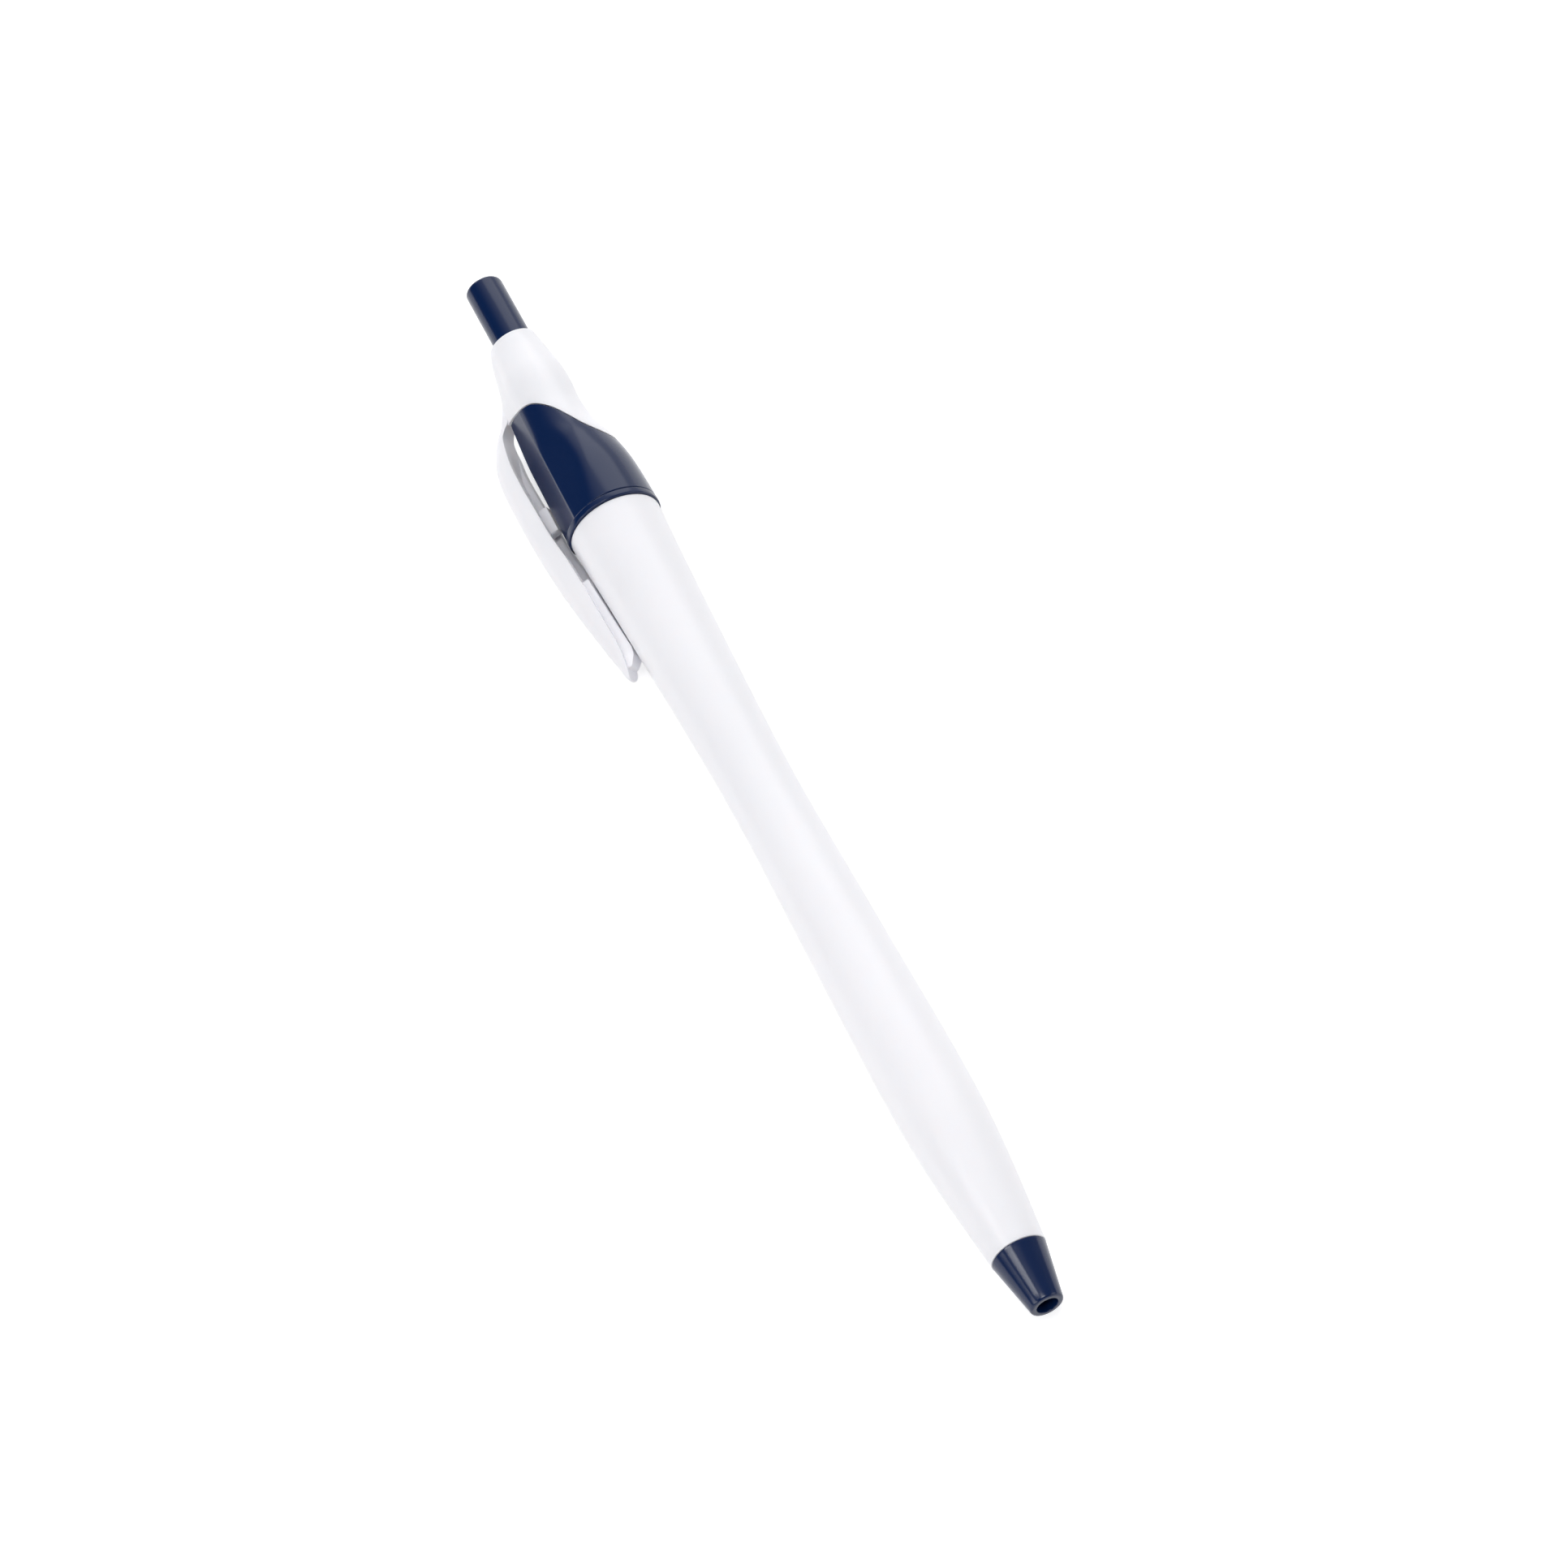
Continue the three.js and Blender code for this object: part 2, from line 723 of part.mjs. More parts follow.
const lugLength = 3.3;
const lugHalfWidth = 1.25;
const sideCrown = 0.42; // share of the blade's depth taken by its rounded top

// One section of the blade: flat inside, upright sides and a crowned top.
function bladeSection(x, inner, outer, half) {
  const shoulder = outer - sideCrown * (outer - inner);
  const top = stations(0, Math.PI, 8).map((angle) => [
    x,
    -(shoulder + (outer - shoulder) * Math.sin(angle)),
    half * Math.cos(angle),
  ]);
  return [[x, -inner, half], ...top, [x, -inner, -half]];
}

function clip() {
  const bladeStations = [
    ...stations(clipRoot, clipRoot + clipBend, 8),
    ...stations(clipRoot + clipBend, clipEnd - clipTip, 12).slice(1),
    ...stations(clipEnd - clipTip, clipEnd, 4).slice(1),
  ];
  const blade = lofted(
    bladeStations.map((x) => bladeSection(x, clipInner(x), clipOuter(x), clipHalfWidth(x))),
  );
  const channelStart = clipRoot + 4.0;
  const channel = lofted(
    stations(channelStart, padStart - clipWall, 10).map((x) =>
      bladeSection(
        x,
        clipInner(x) - cutOverrun,
        clipOuter(x) - clipWall,
        clipHalfWidth(x) - clipWall,
      ),
    ),
  );
  const lugEnd = lugStart + lugLength;
  const lugSpan = [lugStart, lugEnd];
  const lug = lofted(
    lugSpan.map((x) => {
      const inner = sleeveCrest(x) + partingGap;
      return bladeSection(x, inner, clipOuter(x) - 0.5 * clipWall, lugHalfWidth);
    }),
  );
  const pad = lofted(
    stations(padStart, padEnd, 8).map((x) => {
      const half = clipHalfWidth(x) - padInset;
      return bladeSection(x, barrelCurve(x), clipInner(x) + clipWall, half);
    }),
  );
  const barrelRoom = rod(
    stations(padStart - cutOverrun, padEnd + cutOverrun, 10).map((x) => [
      x,
      barrelCurve(x) + padGap,
    ]),
    outerFacets,
  );
  return joined(cutFrom(blade, channel), lug, cutFrom(pad, barrelRoom));
}

// Colours and finishes
const white = new THREE.Color(0.93, 0.93, 0.96);
const navy = new THREE.Color(0.035, 0.05, 0.19);

function finish(color, roughness, metalness = 0) {
  return new THREE.MeshStandardMaterial({ color, roughness, metalness });
}

const finishes = {
  whitePlastic: finish(white, 0.3),
  navyPlastic: finish(navy, 0.2),
  acetal: finish(new THREE.Color(0.9, 0.9, 0.86), 0.45),
  clearTube: finish(new THREE.Color(0.85, 0.87, 0.88), 0.3),
  ink: finish(new THREE.Color(0.02, 0.03, 0.16), 0.2),
  grease: finish(new THREE.Color(0.85, 0.82, 0.68), 0.2),
  steel: finish(new THREE.Color(0.72, 0.72, 0.73), 0.25, 1),
  brass: finish(new THREE.Color(0.78, 0.63, 0.3), 0.3, 1),
};

function piece(name, solid, material) {
  const mesh = new THREE.Mesh(geometryOf(solid), material);
  mesh.name = name;
  return mesh;
}

// The pen at rest: it rolls until one lower edge of the clip touches what the collar lies on.
function clipDepth(droop) {
  const depths = stations(clipRoot + 4, clipEnd - 4, 12).flatMap((x) =>
    bladeSection(x, clipInner(x), clipOuter(x), clipHalfWidth(x)).map(
      ([, y, z]) => -y * Math.sin(droop) - z * Math.cos(droop),
    ),
  );
  return Math.max(...depths);
}

function restingDroop() {
  let [high, low] = [0, Math.PI / 4];
  for (let step = 0; step < 40; step++) {
    const middle = (high + low) / 2;
    if (clipDepth(middle) < collarRadius) high = middle;
    else low = middle;
  }
  return high;
}

const pen = new THREE.Group();
pen.rotation.x = restingDroop();
pen.add(
  piece("push_button", pushButton(), finishes.navyPlastic),
  piece("crown", crown(), finishes.whitePlastic),
  piece("clip", clip(), finishes.whitePlastic),
  piece("sleeve", sleeve(), finishes.navyPlastic),
  piece("rotor", rotor(), finishes.acetal),
  piece("refill_tube", refillTube(), finishes.clearTube),
  piece("ink_column", inkColumn(), finishes.ink),
  piece("grease_follower", greaseFollower(), finishes.grease),
  piece("point_holder", pointHolder(), finishes.brass),
  piece("writing_point", writingPoint(), finishes.brass),
  piece("writing_ball", writingBall(), finishes.steel),
  piece("return_spring", returnSpring(), finishes.steel),
  piece("barrel", barrel(), finishes.whitePlastic),
  piece("nose_cone", noseCone(), finishes.navyPlastic),
);

const assembly = new THREE.Group();
assembly.add(pen);

export default assembly;
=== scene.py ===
"""Looks of a retractable ballpoint pen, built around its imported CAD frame.

Shapes are worked out in pen coordinates, in millimetres: s runs along the axis from the push
face to the nose, c is the reach towards the clip, h is square to both, and an angle about the
axis is counted from the clip. PenFrame turns them into the row frame, in metres.
"""

import json
import logging
import math
from dataclasses import dataclass, field
from enum import Enum
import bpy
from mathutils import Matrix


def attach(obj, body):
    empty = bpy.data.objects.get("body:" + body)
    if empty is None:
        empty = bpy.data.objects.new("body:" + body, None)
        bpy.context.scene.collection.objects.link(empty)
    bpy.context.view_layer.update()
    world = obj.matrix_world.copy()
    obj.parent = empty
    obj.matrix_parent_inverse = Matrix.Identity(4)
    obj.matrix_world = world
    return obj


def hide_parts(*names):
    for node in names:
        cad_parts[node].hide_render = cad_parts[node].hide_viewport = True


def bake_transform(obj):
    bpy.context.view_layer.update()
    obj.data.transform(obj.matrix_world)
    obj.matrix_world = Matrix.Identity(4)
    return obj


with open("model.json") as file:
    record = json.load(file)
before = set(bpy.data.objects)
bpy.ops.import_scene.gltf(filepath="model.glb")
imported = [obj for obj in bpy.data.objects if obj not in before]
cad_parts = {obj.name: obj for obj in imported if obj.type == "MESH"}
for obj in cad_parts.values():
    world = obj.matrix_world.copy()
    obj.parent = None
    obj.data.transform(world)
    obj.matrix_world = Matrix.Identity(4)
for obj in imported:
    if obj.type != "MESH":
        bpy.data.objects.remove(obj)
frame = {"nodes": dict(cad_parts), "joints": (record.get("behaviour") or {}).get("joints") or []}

from types import MappingProxyType
from typing import Callable, Mapping, Sequence

import bmesh
import bpy
import numpy as np
from bpy.types import Material, Node, NodeSocket, NodeTree, Object
from mathutils import Matrix, Vector

LOG = logging.getLogger("pen")
MM = 0.001
CURVE_SAMPLES = 40
HALVINGS = 40
SOFT = 0.1  # millimetres; the usual rounding of a corner
TIGHT = 0.05  # millimetres; the rounding of a corner that fits into another piece
MERGE_DISTANCE = 2e-7  # metres; points closer than this are one
SHORTEST_EDGE = 1e-8  # metres
LONGEST_ROUNDING = 0.45  # share of a side that a corner's rounding may take
SUBSURFACE_RADIUS = (1.0, 0.9, 0.85)  # how red, green and blue share the depth
FLOW_STRETCH = (0.15, 1.0, 1.0)  # flow marks are long along the pen
VALUE_SWING = 0.12  # share of the mottling that reaches the colour
PEN_MIDDLE = (0.07, 0.0, 0.0)  # metres; what the lamps aim at
Array = np.ndarray
Curve = Callable[[Array], Array]
Inputs = Mapping[str | int, object]
Points = Sequence[tuple[float, float]]


class Body(Enum):
    """The CAD bodies that the pieces ride on."""

    CASING = "casing"
    CLIP = "clip_blade"
    BUTTON = "button"
    REFILL = "refill"


# Dimensions shared with the CAD part, in millimetres
@dataclass(frozen=True)
class Sizes:
    """Stations and radii of the pen's outside."""

    rim: float = 8.4
    tail: float = 26.6
    keel: float = 16.9
    collar: float = 35.0
    barrel_start: float = 35.1
    nose_joint: float = 133.4
    nose_seat: float = 133.5
    length: float = 140.0
    button_radius: float = 2.12
    button_bore: float = 2.22
    neck_radius: float = 2.62
    neck_start: float = 14.0
    collar_radius: float = 5.35
    barrel_top: float = 5.15
    waist: float = 3.85
    grip: float = 4.5
    nose_joint_radius: float = 3.06
    nose_end_radius: float = 1.8
    nose_bore: float = 1.19
    clip_root: float = 17.2
    clip_end: float = 51.9


SIZES = Sizes()


def curve_through(points: Points) -> Curve:
    """Returns a smooth curve through the points, read at any station.

    Args:
        points: (station, value) pairs, in order of station.

    Returns:
        A function of an array of stations. Between two points the curve is the cubic whose
        slope at each point is half the step between that point's neighbours.
    """
    p = np.array(points, float)
    before = np.vstack([p[:1], p[:-1]])
    after = np.vstack([p[1:], p[-1:]])
    slope = (after - before) / 2
    t = np.linspace(0, 1, CURVE_SAMPLES, endpoint=False)[:, None, None]
    start, end = p[None, :-1], p[None, 1:]
    leave, arrive = slope[None, :-1], slope[None, 1:]
    cubic = (
        start * (2 * t**3 - 3 * t**2 + 1)
        + leave * (t**3 - 2 * t**2 + t)
        + end * (3 * t**2 - 2 * t**3)
        + arrive * (t**3 - t**2)
    )
    samples = np.vstack([cubic.transpose(1, 0, 2).reshape(-1, 2), p[-1:]])
    return lambda x: np.interp(x, samples[:, 0], samples[:, 1])


def curve_from(start: float, near_start: Points, end: float, near_end: Points) -> Curve:
    """Returns a smooth curve through values at distances from a start and from an end."""
    pairs = [(start + distance, value) for distance, value in near_start]
    return curve_through(pairs + [(end + distance, value) for distance, value in near_end])


def polyline(points: Points) -> Curve:
    """Returns a line of straight stretches through the points."""
    stations, values = np.array(points).T
    return lambda s: np.interp(s, stations, values)


@dataclass(frozen=True)
class PenFrame:
    """Turns pen coordinates into the row frame.

    Args:
        droop: how far the clip hangs below level, in radians.
    """

    droop: float

    def place(self, points: Array) -> Array:
        """Returns (..., 3) points of s, c, h in millimetres as row-frame points in metres."""
        s, c, h = points[..., 0], points[..., 1], points[..., 2]
        sine, cosine = math.sin(self.droop), math.cos(self.droop)
        return np.stack([s, -c * cosine - h * sine, -c * sine + h * cosine], -1) * MM


def pen_frame() -> PenFrame:
    """Reads the clip's droop from the clip hinge's axis, which is square to the clip."""
    axis = next(j["axis"] for j in frame["joints"] if j["name"] == "clip_flex")
    return PenFrame(droop=math.atan2(axis[1], -axis[2]))


PEN = pen_frame()


# Mesh helpers


def grid_piece(name: str, grid: Array, wrap_columns: bool = True) -> Object:
    """Makes a closed mesh object from a grid of points.

    Args:
        name: the new object's name.
        grid: pen points, shaped (rows, columns, 3); the rows close up.
        wrap_columns: whether the last column joins the first as well.

    Returns:
        The object, with its faces turned outward and its poles merged.
    """
    rows, columns = grid.shape[:2]
    row, column = np.arange(rows), np.arange(columns if wrap_columns else columns - 1)
    i, j = np.meshgrid(row, column, indexing="ij")
    down, right = (i + 1) % rows, (j + 1) % columns
    corners = [i * columns + j, i * columns + right, down * columns + right, down * columns + j]
    quads = np.stack(corners, -1).reshape(-1, 4).astype(np.int32)
    points = PEN.place(grid.reshape(-1, 3)).astype(np.float32)
    mesh = bpy.data.meshes.new(name)
    mesh.vertices.add(len(points))
    mesh.vertices.foreach_set("co", points.ravel())
    mesh.loops.add(quads.size)
    mesh.loops.foreach_set("vertex_index", quads.ravel())
    mesh.polygons.add(len(quads))
    mesh.polygons.foreach_set("loop_start", np.arange(0, quads.size, 4, dtype=np.int32))
    mesh.update(calc_edges=True)
    shaped = bmesh.new()
    shaped.from_mesh(mesh)
    bmesh.ops.remove_doubles(shaped, verts=shaped.verts, dist=MERGE_DISTANCE)
    bmesh.ops.dissolve_degenerate(shaped, edges=shaped.edges, dist=SHORTEST_EDGE)
    bmesh.ops.recalc_face_normals(shaped, faces=shaped.faces)
    shaped.to_mesh(mesh)
    shaped.free()
    obj = bpy.data.objects.new(name, mesh)
    bpy.context.scene.collection.objects.link(obj)
    return obj


@dataclass(frozen=True)
class Knot:
    """One corner of a section path.

    Args:
        a: first coordinate, a number or an array over the columns.
        b: second coordinate, likewise.
        soft: how far the corner's rounding reaches along its sides, in millimetres.
    """

    a: Array | float
    b: Array | float
    soft: float = 0.0


def rounded_path(knots: Sequence[Knot], columns: int, steps: int = 4) -> tuple[Array, Array]:
    """Rounds the corners of a closed path, separately in every column.

    Args:
        knots: the path's corners in order.
        columns: how many columns the path has.
        steps: how many pieces a rounded corner has.

    Returns:
        Two arrays shaped (points, columns), in which a soft corner is a parabola.
    """
    a = np.stack([np.broadcast_to(np.asarray(k.a, float), (columns,)) for k in knots])
    b = np.stack([np.broadcast_to(np.asarray(k.b, float), (columns,)) for k in knots])
    path = np.stack([a, b], -1)
    before, after = np.roll(path, 1, 0), np.roll(path, -1, 0)
    made = []
    for i, knot in enumerate(knots):
        if knot.soft <= 0:
            made.append(path[i][None])
            continue
        back, ahead = before[i] - path[i], after[i] - path[i]
        back_length = np.linalg.norm(back, axis=-1, keepdims=True)
        ahead_length = np.linalg.norm(ahead, axis=-1, keepdims=True)
        shorter = np.minimum(back_length, ahead_length)
        reach = np.minimum(knot.soft, LONGEST_ROUNDING * shorter)
        first = path[i] + back * reach / np.maximum(back_length, 1e-9)
        last = path[i] + ahead * reach / np.maximum(ahead_length, 1e-9)
        u = np.linspace(0, 1, steps + 1)[:, None, None]
        made.append((1 - u) ** 2 * first + 2 * u * (1 - u) * path[i] + u**2 * last)
    whole = np.vstack(made)
    return whole[..., 0], whole[..., 1]


def turned_grid(stations: Array, radii: Array, angles: Array) -> Array:
    """Places a path of stations and radii, shaped (points, angles), round the pen's axis."""
    return np.stack([stations, radii * np.cos(angles), radii * np.sin(angles)], -1)


def turned_piece(name: str, knots: Sequence[Knot], facets: int, steps: int = 4) -> Object:
    """Revolves a closed path of (station, radius) knots about the pen's axis.

    Args:
        name: the new object's name.
        knots: the path's corners. They may hold arrays over the angles, for teeth and ribs.
        facets: how many columns the piece has round the axis.
        steps: how many pieces a rounded corner has.

    Returns:
        The closed piece, not yet shaded or dressed.
    """
    angles = column_angles(facets)
    stations, radii = rounded_path(knots, facets, steps)
    return grid_piece(name, turned_grid(stations, np.maximum(radii, 0), angles))


def column_angles(facets: int) -> Array:
    """Returns evenly spaced angles round the axis, counted from the clip."""
    return np.arange(facets) * 2 * math.pi / facets


def smooth_shading(obj: Object, sharp_degrees: float = 40.0) -> None:
    """Shades obj smooth, keeps edges over the angle sharp and evens out its normals."""
    mesh = obj.data
    mesh.polygons.foreach_set("use_smooth", np.ones(len(mesh.polygons), bool))
    mesh.set_sharp_from_angle(angle=math.radians(sharp_degrees))
    evened = obj.modifiers.new("even_normals", "WEIGHTED_NORMAL")
    evened.keep_sharp = True
    evened.weight = 60


def union(target: Object, *others: Object) -> Object:
    """Joins closed solids into target as one closed mesh and removes the others."""
    for other in others:
        joint = target.modifiers.new("join", "BOOLEAN")
        joint.operation = "UNION"
        joint.solver = "MANIFOLD"
        joint.object = other
        graph = bpy.context.evaluated_depsgraph_get()
        joined = bpy.data.meshes.new_from_object(target.evaluated_get(graph))
        target.modifiers.clear()
        target.data = joined
        bpy.data.objects.remove(other)
    return target


# The body's outside, shared by crown and sleeve

BODY_RADIUS = curve_from(
    SIZES.rim,
    ((0, 2.52), (3.4, 3.02), (6.6, 3.41), (10.3, 3.2), (13.4, 3.6), (16.7, 4.5), (20.6, 5.15)),
    SIZES.collar,
    ((0, SIZES.collar_radius),),
)
RIDGE_REACH = polyline([(SIZES.rim, 2.0), (SIZES.keel, 2.65), (SIZES.collar, 2.25)])
RIDGE_SIDE = polyline([(SIZES.rim, 1.53), (SIZES.keel, 2.27), (SIZES.collar, 4.85)])


@dataclass(frozen=True)
class BodySkin:
    """Radius of the keeled body as a function of station and angle.

    The section is round behind and has a keel towards the clip: a narrow flat crest and two
    facets that run from it to a straight ridge on each side.

    Args:
        crest: reach of the flat crest, which is twice crest_half wide.
        softness: 0 for a keeled section, 1 for a plain egg.
        radius: radius of the round back.
        ridge_reach: the ridge's reach towards the clip; ridge_side is its distance sideways.
        flank_turn: angle that the flank faces; flank_spread is how far it stays flat.
        evenness: how gently the flank passes into the round, in millimetres.
        widest: the crest's greatest width, as a share of the ridges' distance.
        rounding: half width of the ridge's rounding, in degrees.
    """

    crest: Curve
    crest_half: Curve
    softness: Curve
    radius: Curve = BODY_RADIUS
    ridge_reach: Curve = RIDGE_REACH
    ridge_side: Curve = RIDGE_SIDE
    flank_turn: float = math.radians(75)
    flank_spread: float = math.radians(70)
    least: float = 3.27
    round_from: float = math.radians(125)
    evenness: float = 0.14
    widest: float = 0.98
    rounding: float = 0.9
    taps: int = 9

    def raw(self, s: Array, angle: Array) -> Array:
        """The radius with sharp ridges: flat crest, facet, flank, and the egg that softens them."""
        folded = np.abs((angle + math.pi) % (2 * math.pi) - math.pi)
        radius, crest = self.radius(s), self.crest(s)
        ridge_c, ridge_h = self.ridge_reach(s), self.ridge_side(s)
        ridge_angle = np.arctan2(ridge_h, ridge_c)
        share = np.clip((folded - ridge_angle) / (self.round_from - ridge_angle), 0, 1)
        at_ridge = np.hypot(ridge_c, ridge_h)
        apart = np.minimum(np.abs(folded - self.flank_turn), self.flank_spread)
        flat_flank = at_ridge * np.cos(ridge_angle - self.flank_turn) / np.cos(apart)
        flank = self.lesser(flat_flank, radius)
        flank = flank + (at_ridge - self.lesser(at_ridge, radius)) * (1 - share) ** 2
        flank = -self.lesser(-flank, -np.minimum(self.least, radius))
        half = np.minimum(self.crest_half(s), ridge_h * self.widest)
        along_c, along_h = ridge_c - crest, ridge_h - half
        facing = np.cos(folded) * along_h - np.sin(folded) * along_c
        facet = (crest * along_h - half * along_c) / np.maximum(facing, 1e-6)
        flat = crest / np.maximum(np.cos(folded), 1e-3)
        keel = np.where(np.tan(np.minimum(folded, 1.5)) * crest < half, flat, facet)
        keeled = np.where(folded < ridge_angle, keel, flank)
        egg = radius + (crest - radius) * ((1 + np.cos(folded)) / 2) ** 3
        return keeled + (egg - keeled) * self.softness(s)

    def lesser(self, a: Array, b: Array) -> Array:
        """The smaller of two radii, with an even change from one to the other."""
        return -self.evenness * np.logaddexp(-a / self.evenness, -b / self.evenness)

    def __call__(self, s: Array, angle: Array) -> Array:
        """The radius with its ridges rounded: a weighted mean of raw over a few degrees."""
        s, angle = np.broadcast_arrays(np.asarray(s, float), np.asarray(angle, float))
        offsets = np.linspace(-2, 2, self.taps)
        weights = np.exp(-(offsets**2) / 2)
        turns = np.radians(self.rounding) * offsets
        blurred = sum(w * self.raw(s, angle + t) for w, t in zip(weights, turns))
        return blurred / weights.sum()


SLEEVE_CREST = curve_through(
    [(SIZES.keel - 1, 4.55), (SIZES.rim + 13.4, 5.05), (SIZES.rim + 16.7, 5.17)]
    + [(SIZES.collar, 5.3)]
)
CROWN_CREST = curve_from(
    SIZES.rim, ((0, 2.9), (1.8, 3.5), (5.1, 4.26), (6.6, 4.72)), SIZES.keel, ((0, 4.95),)
)

CROWN_SKIN = BodySkin(
    crest=CROWN_CREST,
    crest_half=lambda s: np.full_like(s, 0.5),
    softness=lambda s: np.clip((SIZES.keel - s) / (SIZES.keel - SIZES.rim), 0, 1),
    rounding=3.0,
    taps=13,
)
SLEEVE_SKIN = BodySkin(
    crest=SLEEVE_CREST,
    crest_half=lambda s: 0.45 + 0.45 * (s - SIZES.keel) / (SIZES.collar - SIZES.keel),
    softness=np.zeros_like,
)


def cut_curve() -> Curve:
    """Returns the station of the oblique cut between crown and sleeve, by reach."""
    points = [
        (SIZES.keel - 0.2, 7.2),
        (SIZES.keel - 0.1, 4.2),
        (SIZES.rim + 8.9, 2.6),
        (SIZES.rim + 9.7, 0.65),
        (SIZES.rim + 11.5, -1.05),
        (SIZES.rim + 13.5, -2.2),
        (SIZES.rim + 15.7, -3.35),
        (SIZES.tail, -5.2),
        (SIZES.tail + 0.6, -6.4),
    ]
    by_reach = curve_through([(-c, s) for s, c in points])
    return lambda c: by_reach(-np.asarray(c, float))


CUT_STATION = cut_curve()


def cut_edge(skin: BodySkin, angles: Array, shift: float) -> Array:
    """Station at which the oblique cut meets the skin, for every angle.

    Args:
        skin: the body's outside.
        angles: the columns' angles.
        shift: how far the cut is moved along the axis.

    Returns:
        One station for each angle, found by halving the stretch from rim to collar.
    """
    low = np.full_like(angles, SIZES.rim)
    high = np.full_like(angles, SIZES.collar)
    for _ in range(HALVINGS):
        middle = (low + high) / 2
        beyond = middle > CUT_STATION(skin(middle, angles) * np.cos(angles)) + shift
        low, high = np.where(beyond, low, middle), np.where(beyond, middle, high)
    return (low + high) / 2


def along(start: Array | float, end: Array | float, count: int) -> Array:
    """Returns evenly spaced stations from start to end, shaped (count + 1, columns)."""
    u = np.linspace(0, 1, count + 1)[:, None]
    return np.asarray(start, float) + (np.asarray(end, float) - np.asarray(start, float)) * u


# Materials


@dataclass(frozen=True)
class Shading:
    """Adds nodes to the tree of a material, a world or a group."""

    tree: NodeTree

    def feed(self, node: Node, inputs: Inputs) -> None:
        """Links those of the node's inputs that are given a socket and sets the others."""
        for name, value in inputs.items():
            if isinstance(value, NodeSocket):
                self.tree.links.new(value, node.inputs[name])
            else:
                node.inputs[name].default_value = value

    def add(self, kind: str, inputs: Inputs = MappingProxyType({}), **settings: object) -> Node:
        """Adds a shader node of that kind, with its settings and inputs."""
        node = self.tree.nodes.new(f"ShaderNode{kind}")
        for name, value in settings.items():
            setattr(node, name, value)
        self.feed(node, inputs)
        return node

    def math(self, operation: str, a: object, b: object) -> NodeSocket:
        """Returns the result of an operation on two sockets or numbers."""
        return self.add("Math", {0: a, 1: b}, operation=operation).outputs[0]

    def plain_rays(self) -> NodeSocket:
        """Returns a socket that is 1 for camera, glossy and transmission rays."""
        path = self.add("LightPath").outputs
        mirrored = self.math("MAXIMUM", path["Is Camera Ray"], path["Is Glossy Ray"])
        return self.math("MAXIMUM", mirrored, path["Is Transmission Ray"])


@dataclass(frozen=True)
class Finish:
    """A moulded, turned or drawn surface.

    Args:
        roughness: mean roughness.
        metallic: 1 for metal.
        specular: strength of the mirror layer, 0.5 for plain plastic.
        grain: height of the fine surface grain, in millimetres.
        mottling: how much roughness and value wander over a few millimetres.
        subsurface: share of light that passes through the surface.
        depth: how far that light wanders inside, in millimetres.
    """

    name: str
    color: tuple[float, float, float]
    roughness: float = 0.3
    metallic: float = 0.0
    specular: float = 0.5
    grain: float = 0.002
    mottling: float = 0.12
    subsurface: float = 0.0
    depth: float = 1.2

    def build(self) -> Material:
        """Makes the material, or returns it if it was made before."""
        name = f"{self.name}_finish"
        if name in bpy.data.materials:
            return bpy.data.materials[name]
        material = bpy.data.materials.new(name)
        material.use_nodes = True
        shading = Shading(material.node_tree)
        surface = shading.add(
            "Group",
            {"Color": (*self.color, 1), "Roughness": self.roughness, "Mottling": self.mottling},
            node_tree=moulded_surface_group(),
        ).outputs
        height = {"Height": surface["Height"], "Distance": self.grain * MM, "Strength": 1.0}
        inputs = {
            "Base Color": surface["Color"],
            "Roughness": surface["Roughness"],
            "Normal": shading.add("Bump", height).outputs["Normal"],
            "Metallic": self.metallic,
            "Specular IOR Level": self.specular,
            "Subsurface Weight": self.subsurface,
            "Subsurface Radius": SUBSURFACE_RADIUS,
            "Subsurface Scale": self.depth * MM,
        }
        shading.feed(shading.tree.nodes["Principled BSDF"], inputs)
        return material


def moulded_surface_group() -> NodeTree:
    """The shared surface effects: mottled gloss, faint flow marks and fine grain."""
    name = "moulded_surface"
    if name in bpy.data.node_groups:
        return bpy.data.node_groups[name]
    group = bpy.data.node_groups.new(name, "ShaderNodeTree")
    for way, third in (("INPUT", "Mottling"), ("OUTPUT", "Height")):
        for socket, kind in (("Color", "Color"), ("Roughness", "Float"), (third, "Float")):
            group.interface.new_socket(socket, in_out=way, socket_type=f"NodeSocket{kind}")
    shading = Shading(group)
    given = group.nodes.new("NodeGroupInput").outputs
    place = shading.add("TexCoord").outputs["Object"]
    stretched = shading.add("Mapping", {"Vector": place, "Scale": FLOW_STRETCH}).outputs["Vector"]
    flow, cloud, grain = (
        shading.add("TexNoise", {"Vector": vector, "Scale": scale, "Detail": detail}).outputs["Fac"]
        for vector, scale, detail in ((stretched, 380, 3), (place, 160, 2), (place, 5200, 2))
    )
    wander = shading.math("SUBTRACT", shading.math("ADD", flow, cloud), 1.0)
    scaled = shading.math("MULTIPLY", wander, given["Mottling"])
    swing = shading.math("ADD", scaled, 1.0)
    value = shading.math("ADD", shading.math("MULTIPLY", scaled, VALUE_SWING), 1.0)
    tint = shading.add("HueSaturation", {"Value": value, "Color": given["Color"]})
    rough = shading.math("MULTIPLY", swing, given["Roughness"])
    result = {"Color": tint.outputs["Color"], "Roughness": rough, "Height": grain}
    shading.feed(group.nodes.new("NodeGroupOutput"), result)
    return group


